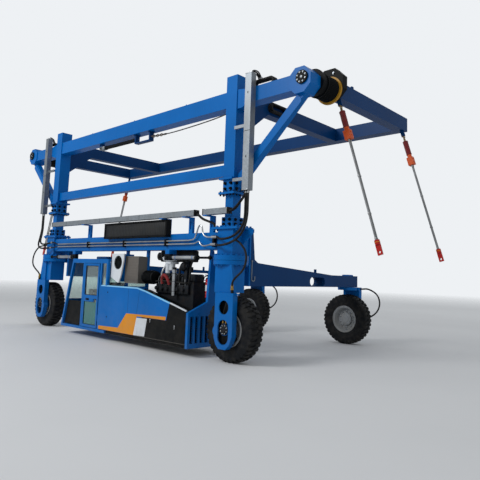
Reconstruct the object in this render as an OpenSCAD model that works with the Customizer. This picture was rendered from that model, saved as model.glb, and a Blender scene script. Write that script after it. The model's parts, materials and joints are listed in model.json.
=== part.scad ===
// Straddle carrier: a side frame on two steered wheels, low outriggers to two far wheels,
// and a lifting frame that slides up two posts and hangs its load on four slings.
// X runs along the machine, Y across it (the cab is on the -Y side), Z is up from the ground.

/* [Wheels] */
// Diameter over the tread lugs
tyre_d = 1190; // [1100:10:1240]
// Tyre width
tyre_w = 320; // [280:10:340]
// Seat diameter of the rim
rim_d = 610; // [560:5:640]
// Radius of the stub axles
axle_r = 60; // [50:1:70]
// Distance that a near wheel trails its steering axis
near_trail = 140; // [100:5:160]
// Tread lugs round one side of a tyre
lug_count = 20; // [18:1:24]
// Height of a tread lug
lug_h = 24; // [18:1:28]

/* [Layout] */
// Steering axes of the near legs, from the middle
leg_x = 3410; // [3350:5:3500]
// Centre line of the near side frame, across
leg_y = -2050; // [-2130:5:-2030]
// Centre line of the far wheels, across
far_y = 2185; // [2150:5:2250]
// Far front wheel, along
far_front_x = 3350; // [3300:5:3450]
// Far rear wheel, along
far_rear_x = 200; // [0:10:400]

/* [Side frame] */
// Top of the lower beam
low_beam_top = 2370; // [2350:5:2390]
// Depth of the lower beam
low_beam_h = 330; // [300:5:340]
// Width of the lower beam
low_beam_w = 300; // [260:5:320]
// Level of the posts' base plates
base_plate_z = 2460; // [2440:5:2480]
// Level of the top of the near forks
fork_top_z = 1835; // [1800:5:1850]
// Radius of the slewing flanges
flange_r = 330; // [300:5:340]
// Radius of the near king pins
king_r = 90; // [80:1:100]
// Width of an inner post, along
post_x = 200; // [180:5:210]
// Width of an inner post, across
post_y = 220; // [200:5:230]
// Top of the inner posts
post_top = 4700; // [4600:10:4800]

/* [Lifting frame] */
// Width of a column, along
column_x = 280; // [270:5:300]
// Width of a column, across
column_y = 300; // [290:5:320]
// Gap between post and column on each side
slide_gap = 8; // [6:1:12]
// Foot of the columns
column_foot = 3080; // [3060:5:3120]
// Top of the columns
column_top = 5400; // [5350:5:5450]
// Underside of the top beam
top_beam_z = 4780; // [4760:5:4800]
// Depth of the top beam
top_beam_h = 320; // [300:5:330]
// Width of the top beam
top_beam_w = 260; // [240:5:280]
// Underside of the middle beam
mid_beam_z = 3450; // [3440:5:3500]
// Depth of the middle beam
mid_beam_h = 220; // [200:5:240]
// Centre of the lifting heads, along
head_x = 5020; // [4980:5:5060]
// Across the flats of a head's side plate
head_af = 460; // [440:5:480]
// Depth of the beams over the load
cross_h = 300; // [280:5:310]
// Centre line of the far lifting beam
far_beam_y = 1420; // [1410:5:1500]

/* [Slings] */
// Centre line of the load, across
load_y = 120; // [110:5:130]
// Slings' distance from the load's centre line
sling_y = 1285; // [1285:1:1295]
// Lower end of a sling, along
sling_foot_x = 6000; // [5950:5:6050]
// Lower end of a sling, above the ground
sling_foot_z = 1990; // [1960:5:2020]

/* [Outriggers] */
// Width of an outrigger box
arm_w = 300; // [260:5:310]
// Underside of the outriggers
arm_z = 1370; // [1360:5:1390]
// Depth of an outrigger at its root
arm_root_h = 450; // [430:5:460]
// Depth of an outrigger at its end
arm_end_h = 270; // [250:5:280]

/* [Body] */
// Outer face of the body
body_near = -2480; // [-2520:5:-2470]
// Inner face of the body
body_far = -1330; // [-1380:5:-1280]
// Underside of the body
body_z = 170; // [150:5:200]
// Engine end of the body
body_end = 2760; // [2740:5:2780]
// Rear of the cab
cab_back = -60; // [-80:5:-40]
// Front of the cab at the floor
cab_nose = -2030; // [-2060:5:-2000]
// Front of the cab at the roof
cab_brow = -1650; // [-1680:5:-1620]
// Top of the cab
cab_top = 1830; // [1800:5:1850]
// Thickness of the cab's posts
cab_post = 60; // [50:1:65]

/* [Hidden] */
$fn = 48;

blue = "#0E6DB8";
deep_blue = "#0B4C86";
black = "#1B1D20";
silver = "#9A9C9B";
orange = "#E0641E";
brass = "#B08A2E";
run_gap = 0.05;
turn_gap = 5;
pad_gap = 0.3;
tyre_r = tyre_d / 2;
rim_r = rim_d / 2;
low_beam_z = low_beam_top - low_beam_h;
// Levels that follow the top beam's
head_z = top_beam_z + 150;
cross_z = top_beam_z + 70;

// A box from its low corner to its high corner
module box(low, high) {
    translate(low) cube(high - low);
}

// A plate drawn in XZ, from y0 to y1
module side_plate(points, y0, y1) {
    translate([0, y1, 0]) rotate([90, 0, 0]) linear_extrude(y1 - y0) polygon(points);
}

// A plate drawn in YZ, from x0 to x1
module end_plate(points, x0, x1) {
    translate([x0, 0, 0]) rotate([90, 0, 90]) linear_extrude(x1 - x0) polygon(points);
}

// A round bar along Y
module bar_y(r, x, z, y0, y1) {
    translate([x, y1, z]) rotate([90, 0, 0]) cylinder(r = r, h = y1 - y0);
}

// A round bar along X
module bar_x(r, y, z, x0, x1) {
    translate([x0, y, z]) rotate([0, 90, 0]) cylinder(r = r, h = x1 - x0);
}

module cylinder_at(r, z0, z1) {
    translate([0, 0, z0]) cylinder(r = r, h = z1 - z0);
}

module flip_x(s) {
    if (s > 0) children();
    else mirror([1, 0, 0]) children();
}
module flip_y(s) {
    if (s > 0) children();
    else mirror([0, 1, 0]) children();
}

// Puts a piece at both near legs, mirrored at the rear one
module at_legs() {
    for (s = [-1, 1])
        flip_x(s) translate([leg_x, leg_y, 0]) children();
}

// Round hose or pipe along hand-set points, its corners cut twice
hose_sides = 8;
function unit(v) = v / norm(v);
function cut_corners(p) = concat([p[0]], [for (i = [0 : len(p) - 2])
    each [0.75 * p[i] + 0.25 * p[i + 1], 0.25 * p[i] + 0.75 * p[i + 1]]], [p[len(p) - 1]]);
function along(p, i) = unit(p[min(i + 1, len(p) - 1)] - p[max(i - 1, 0)]);
function ring(centre, t, side, r) =
    let (n = unit(side - (side * t) * t), b = cross(t, n))
    [for (k = [0 : hose_sides - 1])
        let (a = 360 * k / hose_sides) centre + r * (cos(a) * n + sin(a) * b)];
module hose(points, r, side = [0, 1, 0]) {
    p = cut_corners(cut_corners(points));
    last = len(p) - 1;
    polyhedron([for (i = [0 : last]) each ring(p[i], along(p, i), side, r)],
        concat([[for (k = [0 : hose_sides - 1]) k]],
            [[for (k = [hose_sides - 1 : -1 : 0]) last * hose_sides + k]],
            [for (i = [0 : last - 1], k = [0 : hose_sides - 1])
                let (m = (k + 1) % hose_sides, a = i * hose_sides, b = a + hose_sides)
                each [[a + m, a + k, b + k], [a + m, b + k, b + m]]]));
}

// Wheels

arm_gap = 20;
fork_box = 115;
hub_r = 150;
disc_out = 60;

lug_share = 0.54;
lug_tip = tyre_r / cos((1 - lug_share) * 180 / lug_count);
lug_foot = tyre_r - lug_h;
shoulder_w = 34;

// Tyre around the Y axis at the origin, with two staggered rows of shoulder lugs
module tyre() {
    half_w = tyre_w / 2;
    color(black) difference() {
        union() {
            side_plate(lug_ring(0, 0), -10, 10);
            lug_row(0, -half_w, -10, -half_w + shoulder_w);
            lug_row(0.5, half_w, 10, half_w - shoulder_w);
        }
        bar_y(rim_r, 0, 0, -half_w - 1, half_w + 1);
    }
}

// One row of lugs on a disc from its side y0 to the middle; the lugs are lower up to y_step
module lug_row(shift, y0, y1, y_step) {
    side_plate(lug_ring(shift, 0.5), min(y0, y_step), max(y0, y_step));
    side_plate(lug_ring(shift, 1), min(y_step, y1), max(y_step, y1));
}

// Outline of a row; shift turns it by a share of a pitch, rise is the lugs' share of full height
function lug_ring(shift, rise) =
    let (pitch = 360 / lug_count, half = lug_share * pitch / 2,
        foot = [for (s = [-1, 1]) lug_foot * [sin(s * (half + 1)), -cos(s * (half + 1))]],
        tip = [for (s = [-1, 1]) lug_tip * [sin(s * half), -cos(s * half)]],
        tooth = [foot[0], foot[0] + rise * (tip[0] - foot[0]), foot[1] + rise * (tip[1] - foot[1]), foot[1]])
    [for (i = [0 : lug_count - 1], p = rise > 0 ? tooth : foot)
        let (a = (i + shift) * pitch) [p.x * cos(a) - p[1] * sin(a), p.x * sin(a) + p[1] * cos(a)]];

// Rim with its dish and hub
module rim() {
    color(silver) rotate([90, 0, 0]) rotate_extrude()
        polygon([[axle_r, -disc_out], [hub_r, -disc_out], [hub_r, -20],
            [rim_r - 70, -20], [rim_r - 30, -tyre_w * 0.42], [rim_r, -tyre_w * 0.42],
            [rim_r, tyre_w * 0.42], [rim_r - 30, tyre_w * 0.42], [rim_r - 60, 20],
            [hub_r, 20], [hub_r, disc_out], [axle_r, disc_out]]);
}

function wheel_at(side, end) =
    side == "near" ? [end * (leg_x + near_trail), leg_y, tyre_r]
    : end > 0 ? [far_front_x, far_y, tyre_r] : [far_rear_x, far_y, tyre_r];
module tyre_near_front() { translate(wheel_at("near", 1)) tyre(); }
module tyre_near_rear() { translate(wheel_at("near", -1)) tyre(); }
module tyre_far_front() { translate(wheel_at("far", 1)) mirror([0, 1, 0]) tyre(); }
module tyre_far_rear() { translate(wheel_at("far", -1)) mirror([0, 1, 0]) tyre(); }
module rim_near_front() { translate(wheel_at("near", 1)) rim(); }
module rim_near_rear() { translate(wheel_at("near", -1)) rim(); }
module rim_far_front() { translate(wheel_at("far", 1)) mirror([0, 1, 0]) rim(); }
module rim_far_rear() { translate(wheel_at("far", -1)) mirror([0, 1, 0]) rim(); }

// Forks

fork_low_z = 250;
fork_wide = 450;
fork_out = tyre_w / 2 + arm_gap;
fork_plate = 25;

// A slot with round ends, upright, cut through along Y
module oval(x, z, w, h, y0, y1) {
    for (s = [-1, 1])
        bar_y(w / 2, x, z + s * (h - w) / 2, y0, y1);
    box([x - w / 2, y0, z - (h - w) / 2], [x + w / 2, y1, z + (h - w) / 2]);
}

// Outline of a fork's arm in XZ, its wall moved in by t
function arm_outline(a, b, top, t) = [[a + t, top - t], [a + t, fork_low_z + 190],
    [a + 50 + 0.8 * t, fork_low_z + 70 + 0.5 * t], [a + 125 + 0.4 * t, fork_low_z + t],
    [b - 155 - 0.4 * t, fork_low_z + t], [b - 65 - 0.8 * t, fork_low_z + 80 + 0.5 * t],
    [b - t, fork_low_z + 240], [b - t, top - t]];

// Hollow arm beside the wheel, with two openings, the wheel motor and the stub axle
module fork_arm(x, top) {
    a = x - fork_wide / 2;
    b = x + fork_wide / 2;
    y0 = -fork_out - fork_box;
    y1 = -fork_out;
    difference() {
        union() {
            side_plate(arm_outline(a, b, top, 0), y0, y1);
            bar_y(105, a + 70, 560, y0, y1);
        }
        side_plate(arm_outline(a, b, top, 30), y0 + fork_plate, y1 - fork_plate);
        oval(x, 990, 245, 250, y0 - 1, y0 + fork_plate + 1);
        oval(x, 550, 270, 440, y0 - 1, y0 + fork_plate + 1);
    }
    bar_y(105, x, tyre_r, y0 + fork_plate + 10, y1 - fork_plate);
    bar_y(axle_r + 40, x, tyre_r, y1, -disc_out - turn_gap);
    bar_y(axle_r - run_gap, x, tyre_r, -disc_out - turn_gap, disc_out);
}

// Near fork about its steering axis, wheel trailing towards +X
bridge_low = tyre_d + 60;
module near_fork() {
    bridge_top = fork_top_z - 75;
    y0 = -fork_out - fork_box;
    b = near_trail + fork_wide / 2;
    color(blue) {
        cylinder_at(flange_r, bridge_top, fork_top_z);
        cylinder_at(king_r - run_gap, fork_top_z, fork_top_z + 380);
        fork_arm(near_trail, bridge_low);
        side_plate([[30, bridge_top], [30, bridge_low], [b - 20, bridge_low], [250, bridge_top]],
            y0 + 50, -fork_out);
        box([-200, -fork_out - 30, bridge_low], [200, 170, bridge_top]);
        box([b, y0 + 60, bridge_low - 30], [b + 60, -fork_out, bridge_low - 12]);
    }
}

// Far fork about its steering axis, arm on the outer side
far_fork_top = arm_z - turn_gap;
module far_fork() {
    low = far_fork_top - 70;
    color(blue) mirror([0, 1, 0]) {
        cylinder_at(fork_out + fork_box - 60, low, far_fork_top);
        cylinder_at(king_r - run_gap, far_fork_top, far_fork_top + arm_end_h - 40);
        fork_arm(0, low);
        box([-fork_wide / 2, -fork_out - fork_box, low], [fork_wide / 2, -fork_out + 60, far_fork_top]);
    }
}

// Feed hose of a near wheel's motor, from beside the leg down into the fork's arm
hose_foot = [315, -273];
module near_hose() {
    color(black) {
        hose([[540, -290, 2040], [640, -305, 2000], [700, -330, 1850], [640, -345, 1660],
            [430, -335, 1520], [330, -290, 1440], [hose_foot.x, hose_foot.y, 1360],
            [hose_foot.x, hose_foot.y, bridge_low]], 19);
        translate([hose_foot.x, hose_foot.y, 0]) cylinder_at(25, bridge_low, bridge_low + 60);
    }
}
module hose_near_front() { translate([leg_x, leg_y, 0]) near_hose(); }
module hose_near_rear() { translate([-leg_x, leg_y, 0]) mirror([1, 0, 0]) near_hose(); }

// Feed hose of a far wheel's motor, looped from the fork's head to the hub
module far_hose() {
    y = fork_out + fork_box - 55;
    head = far_fork_top - 35;
    side = fork_wide / 2;
    color(black) hose([[side, y, head], [side + 60, y, head], [440, y, head + 15], [680, y, 1230],
        [760, y, 1020], [690, y, 800], [480, y, 650], [side + 60, y, 620], [side, y, 620]], 19);
}
module hose_far_front() { translate([far_front_x, far_y, 0]) far_hose(); }
module hose_far_rear() { translate([far_rear_x, far_y, 0]) far_hose(); }

module fork_near_front() { translate([leg_x, leg_y, 0]) near_fork(); }
module fork_near_rear() { translate([-leg_x, leg_y, 0]) mirror([1, 0, 0]) near_fork(); }
module fork_far_front() { translate([far_front_x, far_y, 0]) far_fork(); }
module fork_far_rear() { translate([far_rear_x, far_y, 0]) far_fork(); }

// Side frame

leg_half_x = 200;
leg_half_y = 180;
root_y = 390;
rear_reach = [far_rear_x + leg_x, far_y - leg_y];
front_reach = [leg_x - far_front_x, far_y - leg_y];
rear_turn = atan2(rear_reach.x, rear_reach.y);
front_turn = atan2(front_reach.x, front_reach.y);

// Leg head with slewing flange, king pin bore, base plate and outrigger flange
module leg(turn) {
    low = fork_top_z + turn_gap;
    color(blue) difference() {
        union() {
            cylinder_at(flange_r, low, low + 90);
            box([-leg_half_x, -leg_half_y, low + 90], [leg_half_x, leg_half_y, base_plate_z - 40]);
            box([-330, -230, base_plate_z - 40], [330, 230, base_plate_z]);
            side_plate([[leg_half_x, 2110], [480, 2360], [480, base_plate_z - 40],
                [leg_half_x, base_plate_z - 40]], 60, 90);
            rotate([0, 0, turn]) {
                leg_bracket();
                box([-arm_w / 2, root_y - 40, arm_z], [arm_w / 2, root_y, 2380]);
            }
        }
        cylinder_at(king_r, low - 1, fork_top_z + 400);
    }
}
module leg_bracket() {
    box([-120, 0, 1950], [120, root_y - 40, 2380]);
}
module legs() {
    translate([leg_x, leg_y, 0]) leg(front_turn);
    translate([-leg_x, leg_y, 0]) mirror([1, 0, 0]) leg(rear_turn);
}

// Outrigger from its root flange to its king pin, along Y from the leg's axis
module outrigger(length) {
    end_y = length + 220;
    color(deep_blue) difference() {
        union() {
            end_plate([[root_y, arm_z], [end_y, arm_z], [end_y, arm_z + arm_end_h],
                [length - 950, arm_z + arm_end_h], [root_y + 220, arm_z + arm_root_h],
                [root_y + 120, arm_z + arm_root_h + 60], [root_y + 60, 2380], [root_y, 2380]],
                -arm_w / 2, arm_w / 2);
            translate([0, length - 1430, 0]) cylinder_at(30, arm_z + arm_end_h - 20, arm_z + 390);
        }
        translate([0, length, 0]) cylinder_at(king_r, arm_z - 1, arm_z + arm_end_h + 1);
        for (y = [length - 1750, length - 1350])
            bar_x(95, y, arm_z + 115, -arm_w, arm_w);
        box([-arm_w, length - 1750, arm_z + 20], [arm_w, length - 1350, arm_z + 210]);
    }
}
module outriggers() {
    translate([leg_x, leg_y, 0]) rotate([0, 0, front_turn]) outrigger(norm(front_reach));
    translate([-leg_x, leg_y, 0]) rotate([0, 0, -rear_turn]) outrigger(norm(rear_reach));
}

// Lower beam with the slotted posts that carry the trough, and the hangers of the body
slot_posts = [-1460, 1665, 2390, 3000];
hanger_x = [40, 820];
module lower_beam() {
    inner = leg_x - leg_half_x;
    y0 = leg_y - low_beam_w / 2;
    color(blue) {
        difference() {
            box([-inner, y0, low_beam_z], [inner, y0 + low_beam_w, low_beam_top]);
            translate([-leg_x, leg_y, 0]) rotate([0, 0, -rear_turn]) leg_bracket();
        }
        for (x = slot_posts) {
            difference() {
                box([x - 55, y0, low_beam_top], [x + 55, y0 + 60, trough_z]);
                oval(x, (low_beam_top + trough_z) / 2, 40, 170, y0 - 1, y0 + 61);
            }
            box([x - 55, trough_y0, trough_z - 20], [x + 55, y0, trough_z]);
        }
        for (x = hanger_x)
            box([x, leg_y - 30, body_z + 60], [x + 60, leg_y + 30, low_beam_z]);
        side_plate([[-20, 1950], [-20, 1440], [235, 1330], [262, 1330], [330, 1500], [358, 1950]],
            fan_y + fan_plate_t, leg_y - 30);
    }
}
trough_y0 = leg_y - 350;
trough_y1 = leg_y - 225;
trough_z = 2690;

// Inner post that the column slides on, with a collar at its foot
module inner_post() {
    color(blue) {
        box([-post_x / 2, -post_y / 2, base_plate_z], [post_x / 2, post_y / 2, post_top]);
        box([-column_x / 2, -column_y / 2, base_plate_z], [column_x / 2, column_y / 2, base_plate_z + 190]);
    }
    color(black) wear_pads(0, slide_gap - pad_gap, post_top - 190);
}
module inner_posts() { at_legs() inner_post(); }

module lower_trough() {
    color(silver) {
        trough_piece(-3080, 2700);
        trough_piece(2945, 3600);
    }
}
module trough_piece(x0, x1) {
    difference() {
        box([x0, trough_y0, trough_z], [x1, trough_y1, trough_z + 110]);
        box([x0 - 1, trough_y0 + 6, trough_z + 6], [x1 + 1, trough_y1 - 6, trough_z + 111]);
    }
}

// Cooler in its frame, hung on the outer side of the lower beam
module cooler() {
    y1 = leg_y - low_beam_w / 2;
    color(black) difference() {
        box([-560, y1 - 130, 2310], [1780, y1, trough_z - 22]);
        box([-520, y1 - 131, 2350], [1740, y1 - 110, trough_z - 62]);
    }
}

pipe_y = leg_y - low_beam_w / 2 - 40;
pipe_zs = [2155, 2225];
fitting_x = 3190;
fitting_zs = [2130, 2270];
fitting_ys = [pipe_y - 70, pipe_y - 50];
module beam_pipes() {
    y = pipe_y;
    color(silver) {
        for (z = pipe_zs)
            bar_x(17, y, z, -2950, 2400);
        hose([[2400, y, 2225], [2560, y, 2240], [2640, y - 20, 2340], [2720, y - 30, 2520],
            [2810, y - 30, 2500], [2840, y - 30, 2330], [2960, y - 40, 2270], [3120, y - 50, 2270]], 15);
        hose([[2400, y, 2155], [2600, y, 2160], [2740, y - 30, 2210], [2800, y - 40, 2130],
            [2900, y - 50, 2100], [3120, y - 70, 2130]], 15);
        for (i = [0, 1])
            bar_x(28, fitting_ys[i], fitting_zs[i], fitting_x - 80, fitting_x);
    }
    color(black) {
        for (x = [-1410, 160, 1680])
            box([x - 25, y - 22, 2120], [x + 25, leg_y - low_beam_w / 2, 2260]);
        box([fitting_x - 70, y - 40, 2090], [fitting_x - 30, leg_y - leg_half_y, 2300]);
    }
}

// Hoses from the fittings by the leg up into the cable trough
module leg_hoses() {
    x = duct_x + duct_w / 2 - leg_x;
    y = duct_y - duct_d / 2 - leg_y;
    end = fitting_x - leg_x;
    low = [end, fitting_ys[0] - leg_y, fitting_zs[0]];
    high = [end, fitting_ys[1] - leg_y, fitting_zs[1]];
    color(black) {
        hose([[x - 28, y, duct_foot + 60], [x - 28, y, 2660], [x - 35, y - 20, 2500],
            [x - 110, y - 90, 2320], [240, -330, 2230], [0, -320, 2220], high + [70, 0, 0], high], 22);
        hose([[x + 28, y, duct_foot + 60], [x + 28, y, 2660], [x + 20, y - 40, 2440],
            [x - 60, y - 120, 2230], [250, -375, 2120], [0, -360, 2100], low + [70, 0, 0], low], 22);
        hose([[leg_half_x, -150, 2210], [leg_half_x + 40, -150, 2210], [300, -190, 2200],
            [430, -270, 2170], [530, -290, 2110]], 19);
    }
}
module base_hoses() {
    at_legs() leg_hoses();
    y = trough_y0 + 155;
    color(black) {
        hose([[2700, y - 90, trough_z + 40], [2760, y - 90, trough_z + 20], [2840, y - 60, trough_z - 60],
            [2960, y, 2580], [3100, y, 2540], [3130, y, base_plate_z + 50], [3130, y, base_plate_z]], 24);
        for (i = [0, 1])
            hose([[-2950, pipe_y, pipe_zs[i]], [-3000, pipe_y, pipe_zs[i]],
                [-3080, fitting_ys[i], fitting_zs[i]], [-fitting_x, fitting_ys[i], fitting_zs[i]]], 17);
    }
}

// Steering cylinder lying beside the leg's flange
steer_z = fork_top_z + 45;
steer_y = -260;
module steer_cylinder() {
    color(silver) {
        bar_x(42, steer_y, steer_z, -1400, -650);
        box([-1620, steer_y - 50, steer_z - 60], [-1440, steer_y + 50, steer_z + 70]);
    }
    color(black) {
        for (x = [-1440, -690])
            bar_x(52, steer_y, steer_z, x, x + 60);
        bar_x(22, steer_y, steer_z, -630, -265);
    }
    color(blue) box([-1600, steer_y - 40, steer_z + 70], [-1470, -100, low_beam_z]);
}
module steer_cylinders() { at_legs() steer_cylinder(); }

// Lifting frame

module column() {
    cavity_x = post_x / 2 + slide_gap;
    cavity_y = post_y / 2 + slide_gap;
    color(blue) difference() {
        union() {
            box([-column_x / 2, -column_y / 2, column_foot], [column_x / 2, column_y / 2, column_top]);
            box([-200, -210, column_foot], [200, 210, column_foot + 40]);
            box([-200, -210, column_foot + 280], [column_x / 2, 210, column_foot + 320]);
        }
        box([-cavity_x, -cavity_y, column_foot - 1], [cavity_x, cavity_y, column_top - 30]);
    }
    color(black) wear_pads(pad_gap, slide_gap, column_foot + 40);
}

// Four pads round the post, from one gap off its faces to another
module wear_pads(gap0, gap1, z) {
    for (s = [-1, 1]) {
        flip_x(s) box([post_x / 2 + gap0, -60, z], [post_x / 2 + gap1, 60, z + 150]);
        flip_y(s) box([-60, post_y / 2 + gap0, z], [60, post_y / 2 + gap1, z + 150]);
    }
}
module columns() { at_legs() column(); }

column_in = leg_x - column_x / 2;
column_out = leg_x + column_x / 2;

module top_beam() {
    color(blue) {
        box([-column_in, leg_y - top_beam_w / 2, top_beam_z],
            [column_in, leg_y + top_beam_w / 2, top_beam_z + top_beam_h]);
        for (x = [-1900, 0, 1900])
            side_plate([[x - 50, top_beam_z + top_beam_h - 5], [x + 50, top_beam_z + top_beam_h - 5],
                [x, top_beam_z + top_beam_h + 80]], leg_y - 10, leg_y + 10);
    }
}

module mid_beam() {
    color(blue) box([-column_in, leg_y - 90, mid_beam_z], [column_in, leg_y + 90, mid_beam_z + mid_beam_h]);
}

// Arm from the column out to the lifting head, its eight-sided plates and the brace below
hub_x = head_x + 60;
hub_z = head_z + 30;
brace_foot = [column_foot + 100, column_foot + 345];
module lifting_arm() {
    y0 = leg_y - 150;
    y1 = leg_y + 150;
    top = head_z - head_af / 2;
    foot = brace_foot;
    color(blue) {
        side_plate([[column_out, top_beam_z - 60], [column_out + 120, top_beam_z - 60],
            [column_out + 260, top_beam_z], [head_x - 150, top_beam_z],
            [head_x - 150, top_beam_z + top_beam_h - 40], [column_out + 260, top_beam_z + top_beam_h - 40],
            [column_out, top_beam_z + top_beam_h]], leg_y - top_beam_w / 2, leg_y + top_beam_w / 2);
        translate([head_x, y1, head_z]) rotate([90, 22.5, 0])
            cylinder(d = head_af / cos(22.5), h = y1 - y0, $fn = 8);
        side_plate([[head_x - 90, top + 20], [head_x + 90, top + 20], [column_out, foot[0]],
            [column_out, foot[1]]], leg_y - 70, leg_y + 70);
        side_plate([[head_x - 130, top - 60], [head_x - 20, top - 150], [column_out + 200, foot[0] + 230],
            [column_out + 200, foot[1] + 150]], leg_y - 84, leg_y - 70);
        bar_y(71, head_x - 75, top - 105, leg_y - 84, leg_y - 70);
        box([column_out + 130, leg_y - 12, foot[0] + 60], [column_out + 250, leg_y + 12, foot[0] + 200]);
    }
}
module lifting_arms() {
    for (s = [-1, 1])
        flip_x(s) lifting_arm();
}

// Two haunched beams from the columns over the load
module cross_beams() {
    y0 = leg_y + column_y / 2;
    y1 = far_beam_y - 130;
    color(deep_blue) for (s = [-1, 1])
        end_plate([[y0, cross_z - 550], [-1230, cross_z], [y1, cross_z], [y1, cross_z + cross_h],
            [y0, cross_z + cross_h]], s * leg_x - 110, s * leg_x + 110);
}

// Far beam and the members from it to the sheave guards
module far_frame() {
    color(deep_blue) {
        box([-member_out, far_beam_y - 130, cross_z], [member_out, far_beam_y + 130, cross_z + cross_h]);
        for (s = [-1, 1])
            flip_x(s) {
                box([member_out - 220, guard_y1, cross_z], [member_out, far_beam_y, cross_z + cross_h]);
                end_plate([[-700, cross_z + cross_h - 5], [-560, cross_z + cross_h - 5],
                    [-585, cross_z + cross_h + 110], [-645, cross_z + cross_h + 110]],
                    member_out - 125, member_out - 95);
            }
        on_slings() sling_lug();
    }
}

member_out = head_x + 190;
sling_lug_t = 30;
guard_y1 = load_y - sling_y - sling_lug_t;
guard_y0 = guard_y1 - 150;
guard_af = 570;
rim_t = 40;
guard_z = hub_z + 135;
module hoist_drums() {
    color(black) for (s = [-1, 1])
        flip_x(s) {
            bar_y(215, hub_x, hub_z, leg_y + 150, guard_y0 - rim_t);
            bar_y(115, hub_x, hub_z, leg_y - 180, leg_y - 150);
            bar_y(240, hub_x, hub_z, leg_y + 150, leg_y + 190);
        }
}
// Brass-coloured rope rims at the drums' inner ends
module sheave_rims() {
    color(brass) for (s = [-1, 1])
        flip_x(s) bar_y(258, hub_x, hub_z, guard_y0 - rim_t, guard_y0);
}
module sheave_guards() {
    color(black) for (s = [-1, 1])
        flip_x(s) translate([hub_x - 20, guard_y1, guard_z]) rotate([90, 22.5, 0])
            cylinder(d = guard_af / cos(22.5), h = guard_y1 - guard_y0, $fn = 8);
}

// Slings: each leans outwards along its own line, measured from its upper end

sling_top_x = head_x + 140;
sling_top_z = cross_z - 30;
sling_dx = sling_foot_x - sling_top_x;
sling_dz = sling_top_z - sling_foot_z;
sling_len = norm([sling_dx, sling_dz]);
sling_lean = atan2(sling_dx, sling_dz);
eye_r = 20;

// Puts a piece on all four slings; local Z runs down the sling from its upper end
module on_slings() {
    for (sx = [-1, 1], sy = [-1, 1])
        flip_x(sx) translate([sling_top_x, load_y + sy * sling_y, sling_top_z])
            rotate([0, 180 - sling_lean, 0]) children();
}
module sling_lug() {
    box([-40, -sling_lug_t / 2, -60], [40, sling_lug_t / 2, shackle_at - 40]);
}
shackle_at = 150;
sleeve_at = 230;
sleeve_end = 560;
collar_end = 800;
module sling_shackles() {
    color("tan") on_slings() {
        box([-30, -28, shackle_at - 40], [30, 28, shackle_at]);
        cylinder_at(24, shackle_at, sleeve_at);
    }
}
module sling_sleeves() {
    color("darkred") on_slings() cylinder_at(58, sleeve_at, sleeve_end);
}
module sling_collars() {
    color(orange) on_slings() {
        cylinder_at(46, sleeve_end, sleeve_end + 60);
        box([-62, -55, sleeve_end + 60], [62, 55, collar_end]);
    }
}
module sling_rods() {
    color("gray") on_slings() cylinder_at(38, collar_end, sling_len - 260);
}
module sling_lugs() {
    color("red") on_slings() {
        cylinder_at(46, sling_len - 260, sling_len - 180);
        difference() {
            box([-45, -15, sling_len - 180], [45, 15, sling_len]);
            bar_y(eye_r, 0, sling_len - 50, -16, 16);
        }
    }
}

duct_w = 150;
duct_d = 130;
duct_x = column_out + 310;
duct_y = leg_y - top_beam_w / 2;
duct_foot = 3100;
duct_top = 5300;
module cable_troughs() {
    color(silver) for (s = [-1, 1])
        flip_x(s) {
            difference() {
                box([duct_x, duct_y - duct_d, duct_foot], [duct_x + duct_w, duct_y, duct_top]);
                box([duct_x + 6, duct_y - duct_d + 6, duct_foot - 1],
                    [duct_x + duct_w - 6, duct_y - 6, duct_top + 1]);
            }
            for (z = [duct_foot + 200, duct_foot + 1200])
                box([column_out, duct_y - 60, z], [duct_x, duct_y - 20, z + 60]);
        }
}

// Cylinder under the top beam with its clevis, bracket, chain and rope
module hoist_cylinder() {
    z = top_beam_z - 110;
    y = leg_y - 10;
    color(silver) {
        box([-1400, y - 50, z - 45], [-1180, y + 50, z + 45]);
        bar_y(24, -1340, z, y - 75, y + 75);
    }
    color(blue) {
        box([-1420, y - 40, z + 45], [-1300, y + 40, top_beam_z]);
        box([150, y - 60, z - 110], [190, y + 60, top_beam_z]);
        box([700, y - 60, z - 110], [740, y + 60, top_beam_z]);
        box([190, y - 60, z - 110], [700, y + 60, z - 80]);
    }
    color(black) {
        bar_x(45, y, z, -1180, 150);
        for (k = [0 : 4])
            box([740 + 90 * k, y - (k % 2 == 0 ? 12 : 30), z - 30 - 4 * k],
                [840 + 90 * k, y + (k % 2 == 0 ? 12 : 30), z + 10 - 4 * k]);
    }
    color(silver) hose([[1195, y, z - 25], [1500, y, z - 40], [2200, y, z - 20], [2900, y, z + 20],
        [column_in - 80, y, z + 60], [column_in, y, z + 60]], 12);
}

// Cable carriers: a flat loop on each arm and one beside each cross beam
module loop_xz(x0, x1, z0, z1, y0, y1) {
    r = (z1 - z0) / 2;
    difference() {
        union() {
            box([x0 + r, y0, z0], [x1 - r, y1, z1]);
            for (x = [x0 + r, x1 - r])
                bar_y(r, x, z0 + r, y0, y1);
        }
        box([x0 + r, y0 - 1, z0 + 35], [x1 - r, y1 + 1, z1 - 35]);
        for (x = [x0 + r, x1 - r])
            bar_y(r - 35, x, z0 + r, y0 - 1, y1 + 1);
    }
}
module hose_carriers() {
    top = top_beam_z + top_beam_h;
    color("darkgray") for (s = [-1, 1])
        flip_x(s) {
            loop_xz(column_out + 300, column_out + 820, top - 40, top + 110, leg_y - 60, leg_y + 60);
            translate([leg_x + 110, 0, 0]) rotate([0, 0, 90])
                loop_xz(-1250, -700, cross_z + 60, cross_z + 240, -110, 0);
        }
}

// Body

module chassis_tub() {
    color(black) {
        box([cab_back, body_near + 40, body_z], [body_end - 60, body_far, body_z + 60]);
        box([cab_back, body_near + 40, body_z + 60], [body_end - 60, body_near + 90, body_z + 160]);
        box([cab_back, body_far - 60, body_z + 60], [body_end - 60, body_far, body_z + 160]);
    }
}

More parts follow.
